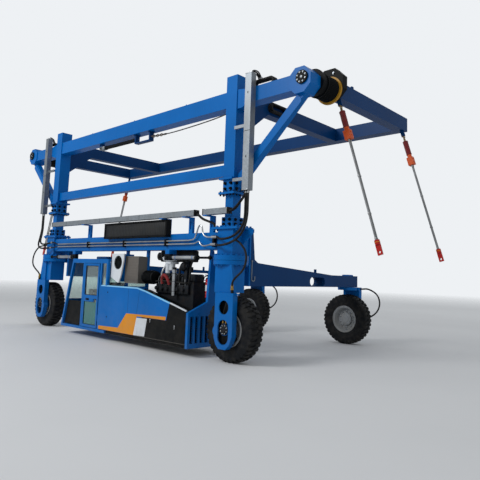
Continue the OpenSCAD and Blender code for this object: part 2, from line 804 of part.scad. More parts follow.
module end_bulkhead() {
    x0 = body_end - 60;
    color(blue) difference() {
        end_plate([[body_near, body_z], [body_near, 830], [-1990, 1030], [leg_y + 120, low_beam_z],
            [leg_y + 180, low_beam_z], [-1630, 1030], [body_far, 830], [body_far, body_z]], x0, body_end);
        for (y = [body_near + 60 : 130 : -1860])
            box([x0 - 1, y, body_z + 90], [body_end + 1, y + 80, 760]);
    }
}

panel_y0 = body_near;
panel_y1 = body_near + 30;
panel_seam = 4;
module side_panel() {
    color(blue) side_plate([[door_post_x + cab_post, body_z + 75], [1060, body_z + 75],
        [1310, 640], [2110, 640], [2190, 970], [1170, cab_sill],
        [door_post_x + cab_post, cab_sill]], panel_y0, panel_y1);
}
module lower_side_panel() {
    color(black) side_plate([[1060 + panel_seam, body_z + 75], [body_end - 60, body_z + 75],
        [body_end - 60, 845], [2190 + panel_seam, 970], [2110 + panel_seam, 640 - panel_seam],
        [1310 + panel_seam, 640 - panel_seam]], panel_y0, panel_y1);
}

engine_y = -2100;
engine_x = 1300;
module engine_block() {
    color("dimgray") box([engine_x, engine_y, body_z + 60], [2450, -1450, 1400]);
}
// Pumps, filters and pipework on the engine's outer side
module engine_fittings() {
    y = engine_y;
    color("dimgray") {
        box([engine_x + 30, y - 60, 1150], [2350, y, 1340]);
        for (x = [engine_x + 60 : 170 : 2200])
            bar_y(42, x, 1245, y - 100, y - 60);
        box([engine_x, y + 40, 1800], [2350, y + 200, low_beam_z]);
        bar_y(85, 1400, 1910, y - 100, y + 40);
        bar_y(30, 1400, 1910, y - 120, y - 100);
        bar_x(78, y - 60, 1715, 2160, 2330);
        box([2200, y - 60, 1400], [2290, y + 60, 1820]);
    }
    color(silver) {
        for (c = [[1700, 50, 1560, 1750], [1840, 62, 1620, 1760]])
            translate([c[0], y - 65, 0]) cylinder_at(c[1], c[2], c[3]);
        box([1640, y - 100, 1750], [1900, y + 60, 1800]);
        hose([[1470, y - 30, 1340], [1470, y - 40, 1500], [1500, y - 40, 1620],
            [1520, y + 20, 1700], [1520, y + 80, 1820]], 26);
    }
    color("darkred") hose([[1560, y - 80, 1340], [1560, y - 100, 1460], [1620, y - 110, 1530],
        [1720, y - 110, 1490], [1780, y - 100, 1400], [1790, y - 80, 1330]], 34);
    color(black) {
        hose([[2060, y - 40, 1340], [2080, y - 70, 1450], [2110, y - 90, 1560], [2080, y - 60, 1680],
            [2070, y + 20, 1760], [2070, y + 80, 1820]], 24, [1, 0, 0]);
        hose([[2320, y - 30, 1340], [2390, y - 60, 1450], [2400, y - 60, 1620], [2320, y + 20, 1740],
            [2300, y + 80, 1820]], 20, [1, 0, 0]);
    }
}
// Alternator with its cooling ribs on the engine's end
module alternator() {
    y = engine_y - 50;
    color(black) {
        bar_x(135, y, 1460, 975, engine_x);
        for (x = [990 : 45 : 1240])
            bar_x(148, y, 1460, x, x + 18);
    }
}
module exhaust_pipe() {
    color(silver) translate([1955, engine_y - 100, 0]) {
        cylinder_at(40, 1115, 1640);
        cylinder_at(50, 1590, 1625);
    }
}
// Oil cooler in its frame, set in front of the hanger
module oil_cooler() {
    y1 = leg_y - 30;
    color("gray") {
        box([366, y1 - 220, 1330], [860, y1, 1900]);
        box([366, y1 - 230, 1310], [870, y1, 1330]);
        box([860, y1 - 230, 1330], [870, y1, 1900]);
    }
}
// Fan panel: white face with a round opening and the fan's ring
fan_y = -2400;
fan_plate_t = 30;
fan_at = [206, 1757];
module fan_panel() {
    y = fan_y;
    color("white") {
        difference() {
            side_plate([[cab_back + 12, 1955], [cab_back + 12, 1425], [235, 1310], [275, 1310],
                [345, 1480], [420, 1800], [430, 1955]], y, y + fan_plate_t);
            bar_y(155, fan_at.x, fan_at[1], y - 1, y + fan_plate_t + 1);
        }
        bar_y(50, fan_at.x, fan_at[1], y + 8, y + fan_plate_t);
        for (a = [0 : 45 : 135])
            translate([fan_at.x, y + fan_plate_t, fan_at[1]]) rotate([90, a, 0])
                translate([-160, -9, 0]) cube([320, 18, 12]);
    }
}
module extinguisher() {
    color("red") translate([body_end - 120, leg_y + 170, 0]) cylinder_at(60, 1110, 1470);
}

// Cab

cab_rail = cab_top - 40;
cab_sill = 1215;
door_post_x = -370;
door_front_x = -1070;

// One side of the cab: leaning front post, top rail and rear post
module cab_side(y) {
    side_plate([[cab_nose, body_z + 60], [cab_nose + cab_post, body_z + 60],
        [cab_brow + cab_post, cab_rail], [cab_brow, cab_rail]], y, y + cab_post);
    box([cab_brow, y, cab_rail - cab_post], [cab_back, y + cab_post, cab_rail]);
    box([cab_back - cab_post, y, cab_sill], [cab_back, y + cab_post, cab_rail]);
}
module cab_frame() {
    color(blue) {
        cab_side(body_near);
        cab_side(body_far - cab_post);
        box([cab_nose, body_near, body_z], [cab_back, body_far, body_z + 60]);
        for (x = [door_front_x - cab_post, door_post_x])
            box([x, body_near, body_z], [x + cab_post, body_near + cab_post, cab_rail]);
        box([cab_back - 40, panel_y1, body_z], [cab_back, body_far, cab_sill]);
        for (z = hinge_zs) {
            translate([hinge_x, hinge_y, 0]) {
                cylinder_at(hinge_r, z - 40, z);
                cylinder_at(pin_r - run_gap, z, z + hinge_h);
            }
            box([hinge_x, hinge_y - 8, z - 40], [door_post_x, hinge_y + 8, z]);
        }
    }
}
module cab_roof() {
    color(blue) box([cab_brow, body_near, cab_top - 40], [cab_back, body_far, cab_top]);
}
module cab_glass() {
    color("lightgray") box([cab_back - 30, body_near + cab_post, cab_sill],
        [cab_back - 24, body_far - cab_post, cab_rail - cab_post]);
}
// Seat, arm console and the dashboard with its wheel
module cab_fittings() {
    color(black) {
        box([-1000, -2130, body_z + 60], [-500, -1680, 650]);
        box([-600, -2130, 650], [-480, -1680, 1300]);
        box([-1700, -2080, body_z + 60], [-1450, -1730, 950]);
    }
}

hinge_x = door_post_x - 20;
hinge_y = body_near + 15;
hinge_r = 14;
pin_r = 8;
hinge_h = 90;
hinge_zs = [450, 1450];
door_t = 50;
door_edge = hinge_x - 20;
door_low = body_z + 70;
door_high = cab_rail - cab_post - 10;
module cab_door() {
    color(blue) difference() {
        union() {
            box([door_front_x + 10, body_near, door_low], [door_edge, body_near + door_t, door_high]);
            for (z = hinge_zs) {
                translate([hinge_x, hinge_y, 0]) cylinder_at(hinge_r, z, z + hinge_h);
                box([door_edge, hinge_y - 8, z], [hinge_x, hinge_y + 8, z + hinge_h]);
            }
        }
        for (z = hinge_zs)
            translate([hinge_x, hinge_y, 0]) cylinder_at(pin_r, z - 1, z + hinge_h + 1);
        door_window(door_low + 60, 900, -1, door_t + 1);
        door_window(980, door_high - 50, -1, door_t + 1);
    }
}
module door_window(z0, z1, y0, y1) {
    box([door_front_x + 60, body_near + y0, z0], [door_edge - 50, body_near + y1, z1]);
}
module door_glass() {
    color("teal") door_window(door_low + 60, 900, 22, 28);
    color("lightgray") door_window(980, door_high - 50, 22, 28);
}

lower_beam();
legs();
inner_posts();
outriggers();
chassis_tub();
end_bulkhead();
side_panel();
lower_side_panel();
engine_block();
engine_fittings();
alternator();
exhaust_pipe();
oil_cooler();
fan_panel();
extinguisher();
cab_frame();
cab_glass();
cab_roof();
cab_fittings();
cooler();
lower_trough();
beam_pipes();
base_hoses();
steer_cylinders();
columns();
top_beam();
mid_beam();
lifting_arms();
cross_beams();
far_frame();
hoist_drums();
sheave_rims();
sheave_guards();
sling_shackles();
sling_sleeves();
sling_collars();
sling_rods();
sling_lugs();
cable_troughs();
hoist_cylinder();
hose_carriers();
fork_near_front();
fork_near_rear();
fork_far_front();
fork_far_rear();
hose_near_front();
hose_near_rear();
hose_far_front();
hose_far_rear();
tyre_near_front();
tyre_near_rear();
tyre_far_front();
tyre_far_rear();
rim_near_front();
rim_near_rear();
rim_far_front();
rim_far_rear();
cab_door();
door_glass();
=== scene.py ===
"""Straddle carrier: finishes, small fittings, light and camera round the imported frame."""

import json
import math

import bmesh
import bpy
from bpy.props import FloatProperty, FloatVectorProperty, IntProperty, PointerProperty
from mathutils import Matrix, Vector


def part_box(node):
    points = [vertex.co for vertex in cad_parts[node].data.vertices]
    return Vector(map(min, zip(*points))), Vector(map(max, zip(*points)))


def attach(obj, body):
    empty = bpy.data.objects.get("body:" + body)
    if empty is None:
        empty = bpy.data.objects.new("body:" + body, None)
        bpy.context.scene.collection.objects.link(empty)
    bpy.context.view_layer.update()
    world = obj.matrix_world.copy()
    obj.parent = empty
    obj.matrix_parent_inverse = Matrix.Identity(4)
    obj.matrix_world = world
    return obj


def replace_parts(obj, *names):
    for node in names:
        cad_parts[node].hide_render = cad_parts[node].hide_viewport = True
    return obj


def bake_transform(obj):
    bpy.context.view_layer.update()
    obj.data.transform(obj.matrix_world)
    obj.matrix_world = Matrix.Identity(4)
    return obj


bl_info = {
    "name": "Straddle carrier looks",
    "version": (1, 0, 0),
    "blender": (4, 5, 0),
    "location": "3D View > Sidebar > Carrier",
    "description": "Finishes and small fittings of a straddle carrier",
    "category": "Object",
}

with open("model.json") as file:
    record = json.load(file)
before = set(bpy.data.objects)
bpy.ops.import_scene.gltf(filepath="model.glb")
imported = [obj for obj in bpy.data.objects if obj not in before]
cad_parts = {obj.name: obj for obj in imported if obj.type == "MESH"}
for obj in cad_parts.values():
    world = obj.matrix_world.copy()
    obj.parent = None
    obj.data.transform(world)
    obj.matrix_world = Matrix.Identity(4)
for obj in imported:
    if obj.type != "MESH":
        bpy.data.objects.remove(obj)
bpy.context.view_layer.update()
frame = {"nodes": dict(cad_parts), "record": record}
NODES = frame["nodes"]


def linear(hex_code):
    """An sRGB hex colour as linear red, green and blue."""
    values = (int(hex_code[i : i + 2], 16) / 255 for i in (0, 2, 4))
    return tuple(v / 12.92 if v <= 0.04045 else ((v + 0.055) / 1.055) ** 2.4 for v in values)


def colour_property(name, description, hex_code):
    """A colour that shows in the sidebar."""
    return FloatVectorProperty(name=name, description=description, subtype="COLOR", default=linear(hex_code),
                               min=0, max=1)


class CarrierPaint(bpy.types.PropertyGroup):
    """Colours of the machine"""

    blue: colour_property("Frame blue", "Enamel of the near frame", "0067B6")
    # Deep blue is the frame blue painted darker as shade, for the outriggers and the far frame; frame blue is
    # its lit copy
    deep_blue: colour_property("Shaded blue", "Enamel of the outriggers and the far frame", "043A6E")
    # The coping's blue painted much paler, as a painted highlight of the sun along its rounded top
    highlight_blue: colour_property("Coping highlight", "Bright strip along the panels' top edge", "86CBF6")
    orange: colour_property("Stripe", "Film on the side panels", "DE8F1C")
    sleeve: colour_property("Sling sleeve", "Woven sleeve on the slings", "8C2428")


class CarrierSizes(bpy.types.PropertyGroup):
    """Sizes of the small fittings"""

    bolt_af: FloatProperty(name="Flange bolt", description="Across the flats of a flange bolt's head",
                           unit="LENGTH", default=0.046, min=0.03, max=0.06)
    wheel_nuts: IntProperty(name="Wheel nuts", description="Nuts on one rim", default=10, min=8, max=12)
    tread_lugs: IntProperty(name="Tread lugs", description="Lugs round one side of a tyre",
                            default=36, min=30, max=40)
    dust_height: FloatProperty(name="Dust height", description="Height to which dust lies on the paint",
                               unit="LENGTH", default=1.1, min=0.2, max=2.5)


# Shader helpers


def add(tree, kind, inputs=None, links=None, **settings):
    """Adds one node with its settings, input values and incoming links."""
    made = tree.nodes.new(kind)
    for key, value in settings.items():
        setattr(made, key, value)
    for key, value in (inputs or {}).items():
        made.inputs[key].default_value = value
    for key, source in (links or {}).items():
        tree.links.new(source, made.inputs[key])
    return made


def start(name, **shader):
    """A new material with its shader, object coordinates and constant sockets set."""
    made = bpy.data.materials.new(name)
    made.use_nodes = True
    tree = made.node_tree
    surface = tree.nodes["Principled BSDF"]
    for key, value in shader.items():
        socket = surface.inputs[key.replace("_", " ")]
        socket.default_value = (*value, 1) if socket.type == "RGBA" and len(value) == 3 else value
    place = add(tree, "ShaderNodeTexCoord").outputs["Object"]
    return made, tree, surface, place


def noise(tree, place, size_mm, detail=2.0, rough=0.5, stretch=None):
    """Noise whose blobs are about size_mm across, stretched along an axis if asked."""
    source = place
    if stretch:
        source = add(tree, "ShaderNodeMapping", {"Scale": stretch}, {"Vector": place}).outputs["Vector"]
    return add(tree, "ShaderNodeTexNoise", {"Scale": 1000 / size_mm, "Detail": detail, "Roughness": rough},
               {"Vector": source}).outputs["Fac"]


def remap(tree, value, low, high, to_low=0.0, to_high=1.0):
    """A value stretched from one range to another, clamped."""
    ends = {"From Min": low, "From Max": high, "To Min": to_low, "To Max": to_high}
    return add(tree, "ShaderNodeMapRange", ends, {"Value": value}).outputs["Result"]


def stripes(tree, place, wide_mm, direction):
    """Stripes along one axis, each about wide_mm wide."""
    return add(tree, "ShaderNodeTexWave", {"Scale": 1000 / wide_mm / 6.28}, {"Vector": place},
               bands_direction=direction).outputs["Fac"]


def cells(tree, place, size_mm, output):
    """Cells about size_mm across: their Color or the Distance to their middle."""
    return add(tree, "ShaderNodeTexVoronoi", {"Scale": 1000 / size_mm}, {"Vector": place}).outputs[output]


def shade(colour, share):
    """A colour made darker or lighter by a share."""
    return tuple(share * c for c in colour)


def mix(tree, factor, a, b):
    """Two colours mixed by a factor; a and b are sockets or colours."""
    made = add(tree, "ShaderNodeMix", links={"Factor": factor}, data_type="RGBA")
    for index, value in ((6, a), (7, b)):
        if isinstance(value, tuple):
            made.inputs[index].default_value = (*value, 1)
        else:
            tree.links.new(value, made.inputs[index])
    return made.outputs[2]


def times(tree, a, b):
    """Product of two values, sockets or numbers."""
    made = add(tree, "ShaderNodeMath", operation="MULTIPLY")
    for index, value in ((0, a), (1, b)):
        if isinstance(value, (int, float)):
            made.inputs[index].default_value = value
        else:
            tree.links.new(value, made.inputs[index])
    return made.outputs[0]


def relief(tree, surface, height, depth_mm, strength=1.0):
    """Bump of a real depth from a height pattern."""
    depth = {"Strength": strength, "Distance": depth_mm / 1000}
    bump = add(tree, "ShaderNodeBump", depth, {"Height": height})
    tree.links.new(bump.outputs["Normal"], surface.inputs["Normal"])


def finish_colour(tree, surface, colour, rough):
    """Joins the worked-out colour and roughness to the shader."""
    tree.links.new(colour, surface.inputs["Base Color"])
    tree.links.new(rough, surface.inputs["Roughness"])


def enamel(name, colour, gloss, dust, coat, dust_height):
    """Two-pack enamel sprayed on welded plate: orange peel, faint runs, dust low down, a few stone chips."""
    made, tree, surface, place = start(name, IOR=1.5, Specular_IOR_Level=0.1, Coat_Weight=coat,
                                       Coat_Roughness=0.2)
    height = add(tree, "ShaderNodeSeparateXYZ", links={"Vector": place}).outputs["Z"]
    cloud = remap(tree, noise(tree, place, 900, 4), 0.35, 0.7)
    tone = mix(tree, cloud, shade(colour, 0.86), colour)
    runs = remap(tree, noise(tree, place, 60, 3, 0.6, (1, 1, 0.06)), 0.56, 0.78)
    tone = mix(tree, times(tree, runs, 0.22), tone, shade(colour, 0.6))
    low = remap(tree, height, dust_height, 0.0)
    patches = remap(tree, noise(tree, place, 170, 5, 0.65), 0.35, 0.75)
    film = times(tree, times(tree, low, patches), dust)
    tone = mix(tree, film, tone, linear("8D8679"))
    flaws = remap(tree, noise(tree, place, 24, 2, 0.7), 0.755, 0.77)
    chips = times(tree, flaws, remap(tree, noise(tree, place, 480, 2), 0.5, 0.62))
    tone = mix(tree, chips, tone, linear("3B3A38"))
    finish_colour(tree, surface, tone, remap(tree, film, 0.0, 0.5, gloss, 0.75))
    # The real peel is about 2 mm across; 14 mm shows at this distance
    relief(tree, surface, noise(tree, place, 14, 1), 0.35, 0.25)
    return made


def rubber(name, colour, dusty):
    """Moulded carbon-black rubber: dull, finely pitted, greyed by dust in the low places."""
    made, tree, surface, place = start(name, IOR=1.52, Specular_IOR_Level=0.2)
    grey = times(tree, remap(tree, noise(tree, place, 120, 5, 0.65), 0.42, 0.75), dusty)
    tone = mix(tree, grey, colour, linear("6F685D"))
    finish_colour(tree, surface, tone, remap(tree, grey, 0, 1, 0.68, 0.95))
    relief(tree, surface, noise(tree, place, 9, 3), 0.8, 0.5)
    return made


def bare_metal(name, colour, rough, size_mm, stretch=None, stain=None, stain_share=0.0, bump_mm=0.2):
    """Unpainted metal: drawing or rolling marks, dulled in patches, stained where told."""
    made, tree, surface, place = start(name, Metallic=1.0)
    marks = noise(tree, place, size_mm, 3, 0.6, stretch)
    patch = remap(tree, noise(tree, place, 260, 4), 0.35, 0.72)
    tone = mix(tree, patch, shade(colour, 0.72), colour)
    if stain:
        spots = times(tree, remap(tree, noise(tree, place, 90, 6, 0.7), 0.5, 0.66), stain_share)
        tone = mix(tree, spots, tone, stain)
    finish_colour(tree, surface, tone, remap(tree, marks, 0.3, 0.7, rough, rough + 0.22))
    relief(tree, surface, marks, bump_mm, 0.35)
    return made


def galvanised(name, colour):
    """Hot-dip galvanised sheet: pale grey with the spangle of its zinc crystals."""
    made, tree, surface, place = start(name, Metallic=0.75)
    # Spangles are 10 to 20 mm; 26 mm shows at this distance
    spangle = cells(tree, place, 26, "Color")
    level = add(tree, "ShaderNodeRGBToBW", links={"Color": spangle}).outputs["Val"]
    soil = remap(tree, noise(tree, place, 300, 5, 0.65, (1, 1, 0.25)), 0.45, 0.75, 0, 0.35)
    tone = mix(tree, level, shade(colour, 0.84), colour)
    tone = mix(tree, soil, tone, linear("6E6A62"))
    finish_colour(tree, surface, tone, remap(tree, level, 0, 1, 0.36, 0.52))
    relief(tree, surface, level, 0.15, 0.2)
    return made


def woven(name, colour):
    """Woven polyester sleeve: two crossing threads and soft sheen, scuffed pale in places."""
    made, tree, surface, place = start(name, Sheen_Weight=0.3, Sheen_Roughness=0.5, Specular_IOR_Level=0.25)
    # Threads are 2 mm wide; 14 mm shows at this distance
    cloth = times(tree, stripes(tree, place, 14, "DIAGONAL"), stripes(tree, place, 14, "Z"))
    worn = remap(tree, noise(tree, place, 110, 5, 0.6), 0.45, 0.8, 0, 0.45)
    tone = mix(tree, worn, mix(tree, cloth, shade(colour, 0.6), colour), linear("7A5A52"))
    finish_colour(tree, surface, tone, remap(tree, worn, 0, 0.5, 0.82, 0.95))
    relief(tree, surface, cloth, 1.2, 0.6)
    return made


def glass(name, tint, clear=0.92):
    """Toughened float glass: clear, faintly green, with a little dust in patches."""
    made, tree, surface, place = start(name, IOR=1.5, Transmission_Weight=clear)
    film = remap(tree, noise(tree, place, 380, 4, 0.6), 0.4, 0.8, 0, 0.3)
    tone = mix(tree, film, tint, linear("9A9A94"))
    finish_colour(tree, surface, tone, remap(tree, film, 0, 0.3, 0.03, 0.22))
    return made


def vinyl(name, colour):
    """Grained vinyl and moulded plastic: satin, with a leather-like pebble."""
    made, tree, surface, place = start(name, IOR=1.46)
    worn = remap(tree, noise(tree, place, 150, 4), 0.4, 0.75)
    tone = mix(tree, worn, colour, tuple(1.5 * c + 0.01 for c in colour))
    finish_colour(tree, surface, tone, remap(tree, worn, 0, 1, 0.5, 0.72))
    # The real pebble is about 1 mm across; 12 mm shows at this distance
    relief(tree, surface, cells(tree, place, 12, "Distance"), 0.8, 0.4)
    return made


def core(name, gap, fin, fin_mm):
    """Brazed cooler core: thin fins between flat tubes, dusty."""
    made, tree, surface, place = start(name, IOR=1.5, Specular_IOR_Level=0.3)
    # Fins are 3 mm and tubes 10 mm apart; stripes of fin_mm, and of twice that, show at this distance
    rows = remap(tree, stripes(tree, place, 2 * fin_mm, "Z"), 0, 1, 0.75, 1)
    weave = times(tree, stripes(tree, place, fin_mm, "X"), rows)
    dust = remap(tree, noise(tree, place, 240, 5, 0.6), 0.45, 0.8, 0, 0.3)
    tone = mix(tree, dust, mix(tree, weave, gap, fin), linear("4B4842"))
    finish_colour(tree, surface, tone, remap(tree, dust, 0, 0.3, 0.5, 0.8))
    relief(tree, surface, weave, 4, 0.7)
    return made


def make_finishes(paint, sizes):
    """Every finish of the machine by its name; an enamel's numbers are gloss, dust and clear coat."""
    high = sizes.dust_height
    rust, grease = linear("5F4A3A"), linear("3B3028")
    return {
        "blue": enamel("sprayed_enamel_blue", tuple(paint.blue), 0.36, 0.2, 0.05, high),
        # The frame's one blue enamel twice: as lit, and painted darker as shade
        "deep_blue": enamel("sprayed_enamel_deep_blue", tuple(paint.deep_blue), 0.42, 0.15, 0.03, high),
        "black": enamel("satin_black_enamel", linear("0C0E10"), 0.5, 0.09, 0.0, high),
        "white": enamel("sprayed_enamel_white", linear("D9DEE3"), 0.32, 0.5, 0.3, high),
        "red": enamel("fire_red_enamel", linear("B81F1A"), 0.25, 0.2, 0.4, high),
        "orange": enamel("cast_vinyl_film_orange", tuple(paint.orange), 0.35, 0.4, 0.2, high),
        "silver": enamel("silver_wheel_enamel", linear("8E9193"), 0.4, 0.75, 0.15, high),
        # Paler blue painted as the highlight on the panels' coping
        "highlight_blue": enamel("blue_enamel_painted_highlight", tuple(paint.highlight_blue), 0.25, 0.15, 0.5, high),
        "sling_orange": enamel("orange_enamel", linear("DB5A22"), 0.4, 0.2, 0.2, high),
        "red_hose": rubber("silicone_hose_red", linear("7E1E22"), 0.25),
        "tank": enamel("grey_tank_enamel", linear("6D6A66"), 0.5, 0.3, 0.1, high),
        "tyre": rubber("moulded_tyre_rubber", linear("0B0E12"), 0.16),
        "hose": rubber("braided_hose_rubber", linear("121315"), 0.15),
        "trough": galvanised("galvanised_sheet", linear("969DA3")),
        "pipe": bare_metal("drawn_steel_tube", linear("B9BCBE"), 0.26, 30, (0.04, 1, 1)),
        "iron": bare_metal("cast_iron", linear("35383C"), 0.55, 22, None, linear("4E4036"), 0.35, 1.0),
        "chain": bare_metal("chain_steel", linear("8A8378"), 0.45, 25, None, linear("7A4A2C"), 0.6, 0.6),
        "sleeve": woven("woven_polyester_sleeve", tuple(paint.sleeve)),
        "rod": bare_metal("turned_steel_rod", linear("9C9E9F"), 0.4, 40, (1, 1, 0.2), rust, 0.35),
        "brass": bare_metal("yellow_brass", linear("B79550"), 0.35, 30, None, rust, 0.3),
        "brass_steel": bare_metal("yellow_zinc_plated_steel", linear("A8936A"), 0.4, 30, None, rust, 0.4),
        "rope": bare_metal("steel_wire_rope", linear("5C5A58"), 0.5, 9, (1, 1, 3), grease, 0.5, 1.5),
        "rope_paint": enamel("yellow_enamel", linear("B9892B"), 0.45, 0.3, 0.1, high),
        "glass": glass("toughened_glass", linear("D9EAE6")),
        "teal_glass": glass("tinted_glass", linear("4FA3A0"), 0.6),
        "seat": vinyl("grained_vinyl", linear("1A1B1D")),
        "core": core("cooler_core_black", linear("0A0B0C"), linear("1D2023"), 30),
        "oil_core": core("cooler_core_aluminium", linear("54504C"), linear("777069"), 16),
    }


FINISH_OF_SLOT = {
    "blue_paint": "blue",
    "deep_blue_paint": "deep_blue",
    "black_paint": "black",
    "white_paint": "white",
    "red_paint": "red",
    "tyre_rubber": "tyre",
    "rim_steel": "silver",
    "trough_aluminium": "trough",
    "pipe_steel": "pipe",
    "engine_iron": "iron",
    "chain_steel": "chain",
    "sleeve_fabric": "sleeve",
    "glass": "glass",
    "seat_vinyl": "seat",
    "orange_paint": "sling_orange",
    "rope_brass": "rope_paint",
    "hose_rubber": "hose",
}
# The slot that a piece takes from its finish; the finishes listed here are on pieces of this file alone
FINISH_OF_NODE = {"oil_cooler": "tank", "sling_rods": "rod"}
FINISH = {}


# Stage


def area_light(name, place, target, size, watts):
    """A soft square lamp that looks at a target."""
    data = bpy.data.lights.new(name, "AREA")
    data.size, data.energy = size, watts
    lamp = bpy.data.objects.new(name, data)
    lamp.location = place
    lamp.rotation_euler = (Vector(target) - Vector(place)).to_track_quat("-Z", "Y").to_euler()
    bpy.context.scene.collection.objects.link(lamp)


def shader_mix(tree, factor, a, b):
    """Two shaders mixed by a factor."""
    made = add(tree, "ShaderNodeMixShader", links={0: factor, 1: a.outputs[0], 2: b.outputs[0]})
    return made.outputs[0]


class CARRIER_OT_stage(bpy.types.Operator):
    """Pale floor, soft lamps, plain backdrop and the camera at the photograph's angle"""

    bl_idname = "carrier.stage"
    bl_label = "Stage, light and camera"

    def execute(self, context):
        scene = context.scene
        scene.view_settings.view_transform = "Standard"
        bm = bmesh.new()
        bmesh.ops.create_circle(bm, cap_ends=True, segments=96, radius=60)
        mesh = bpy.data.meshes.new("floor")
        bm.to_mesh(mesh)
        bm.free()
        floor = bpy.data.objects.new("floor", mesh)
        scene.collection.objects.link(floor)
        made, tree, surface, place = start("pale_floor", Specular_IOR_Level=0.15, Roughness=0.9)
        tone = mix(tree, noise(tree, place, 2600, 4), linear("D3D4D5"), linear("DADBDC"))
        tree.links.new(tone, surface.inputs["Base Color"])
        # The floor fades out far away, so no edge of it shows against the backdrop
        reach = add(tree, "ShaderNodeVectorMath", links={0: place}, operation="LENGTH").outputs["Value"]
        fade = shader_mix(tree, remap(tree, reach, 14, 52), surface, add(tree, "ShaderNodeBsdfTransparent"))
        tree.links.new(fade, tree.nodes["Material Output"].inputs["Surface"])
        mesh.materials.append(made)
        world = bpy.data.worlds.new("studio")
        scene.world = world
        world.use_nodes = True
        tree = world.node_tree
        # What lights the machine, and the brighter backdrop that only the camera and the glass see
        glow = tree.nodes["Background"]
        glow.inputs["Color"].default_value = (*linear("E6EAEE"), 1)
        glow.inputs["Strength"].default_value = 0.6
        back = add(tree, "ShaderNodeBackground", {"Color": (*linear("EEF1F4"), 1), "Strength": 1.0})
        rays = add(tree, "ShaderNodeLightPath").outputs
        seen = add(tree, "ShaderNodeMath", links={0: rays["Is Camera Ray"], 1: rays["Is Transmission Ray"]},
                   operation="MAXIMUM").outputs[0]
        tree.links.new(shader_mix(tree, seen, glow, back), tree.nodes["World Output"].inputs["Surface"])
        area_light("key", (-4, -19, 14), (0, 0, 2), 7, 2300)
        area_light("fill", (17, -6, 8), (0, 0, 2), 12, 90)
        area_light("back", (0, 17, 12), (0, 0, 3), 12, 350)
        # Fitted to the photograph: its place, its axes and its lens
        data = bpy.data.cameras.new("camera")
        data.sensor_width, data.lens, data.shift_y = 36, 38.0, -0.054
        camera = bpy.data.objects.new("camera", data)
        forward, right = Vector((-0.681, 0.723, 0.117)).normalized(), Vector((0.73, 0.682, 0.035))
        right = (right - right.dot(forward) * forward).normalized()
        up = right.cross(forward)
        turn = Matrix((right, up, -forward)).transposed().to_4x4()
        camera.matrix_world = Matrix.Translation((10.05, -8.90, 1.60)) @ turn
        scene.collection.objects.link(camera)
        scene.camera = camera
        return {"FINISHED"}


class CARRIER_OT_finishes(bpy.types.Operator):
    """Gives every carried-over solid its finish"""

    bl_idname = "carrier.finishes"
    bl_label = "Finishes"

    def execute(self, context):
        FINISH.update(make_finishes(context.scene.carrier_paint, context.scene.carrier_sizes))
        slots = {s["node"]: s["material_slot"] for s in frame["record"]["subparts"]}
        for name, solid in NODES.items():
            finish = FINISH[FINISH_OF_NODE.get(name) or FINISH_OF_SLOT[slots[name]]]
            for holder in solid.material_slots:
                holder.material = finish
        return {"FINISHED"}


# Pieces

UP, DOWN = (0, 0, 1), (0, 0, -1)
NEAR, FAR = (0, -1, 0), (0, 1, 0)
FRONT, REAR = (1, 0, 0), (-1, 0, 0)


def mm(x, y, z):
    """A point given in millimetres, as the solids' sizes are, in metres."""
    return Vector((x, y, z)) / 1000


def piece(name, bm, finish, body="base", smooth=35):
    """Turns a bmesh into an object at the origin that rides on a body, or on none yet.

    Its one material slot holds the finish; edges under smooth degrees are shaded round.
    """
    mesh = bpy.data.meshes.new(name)
    bmesh.ops.recalc_face_normals(bm, faces=bm.faces)
    for face in bm.faces:
        face.smooth = True
    for edge in bm.edges:
        edge.smooth = edge.calc_face_angle(math.pi) < math.radians(smooth)
    bm.to_mesh(mesh)
    bm.free()
    made = bpy.data.objects.new(name, mesh)
    bpy.context.scene.collection.objects.link(made)
    mesh.materials.append(FINISH[finish])
    if body:
        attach(made, body)
    return made


def turned(place, axis):
    """Matrix that puts local Z along an axis at a place."""
    return Matrix.Translation(place) @ Vector(axis).to_track_quat("Z", "Y").to_matrix().to_4x4()


def newer(bm, before):
    """Vertices that weren't in the set taken before."""
    return [v for v in bm.verts if v not in before]


def loop_edges(verts):
    """Edges that run between the vertices of one loop."""
    inside = set(verts)
    return [e for e in edges_at(verts) if e.verts[0] in inside and e.verts[1] in inside]


def bolt(bm, place, axis, flats, height):
    """A bolt head with its washer, standing on a place along an axis; sizes in mm."""
    where = turned(mm(*place), axis)
    flats, height = flats / 1000, height / 1000
    bmesh.ops.create_cone(bm, cap_ends=True, segments=12, radius1=flats * 0.72, radius2=flats * 0.72,
                          depth=height * 0.3, matrix=where @ Matrix.Translation((0, 0, height * 0.15)))
    bmesh.ops.create_cone(bm, cap_ends=True, segments=6, radius1=flats * 0.577, radius2=flats * 0.54,
                          depth=height * 0.7, matrix=where @ Matrix.Translation((0, 0, height * 0.65)))


def bolt_ring(bm, centre, axis, radius, count, flats, height, skip=None):
    """A circle of bolts about a centre; skip says which local (x, y) spots have no room."""
    where = turned(mm(*centre), axis)
    for n in range(count):
        a = math.tau * (n + 0.5) / count
        spot = where @ mm(radius * math.cos(a), radius * math.sin(a), 0) * 1000
        if not (skip and skip(spot.x - centre[0], spot.y - centre[1])):
            bolt(bm, spot, axis, flats, height)


def soften(bm, edges, offset, segments=1):
    """Bevels edges by an offset in metres."""
    bmesh.ops.bevel(bm, geom=edges, offset=offset, segments=segments, profile=0.5, affect="EDGES", material=-1)


def edges_at(verts):
    """Every edge that touches the vertices, in the same order each run."""
    return list(dict.fromkeys(e for v in verts for e in v.link_edges))


def faces_at(verts):
    """Every face that touches the vertices, in the same order each run."""
    return list(dict.fromkeys(f for v in verts for f in v.link_faces))


def extruded(bm, faces, step, **settings):
    """Draws faces out by a step in mm and returns the vertices of the far side."""
    grown = bmesh.ops.extrude_face_region(bm, geom=faces, **settings)["geom"]
    verts = [g for g in grown if isinstance(g, bmesh.types.BMVert)]
    bmesh.ops.translate(bm, vec=mm(*step), verts=verts)
    return verts


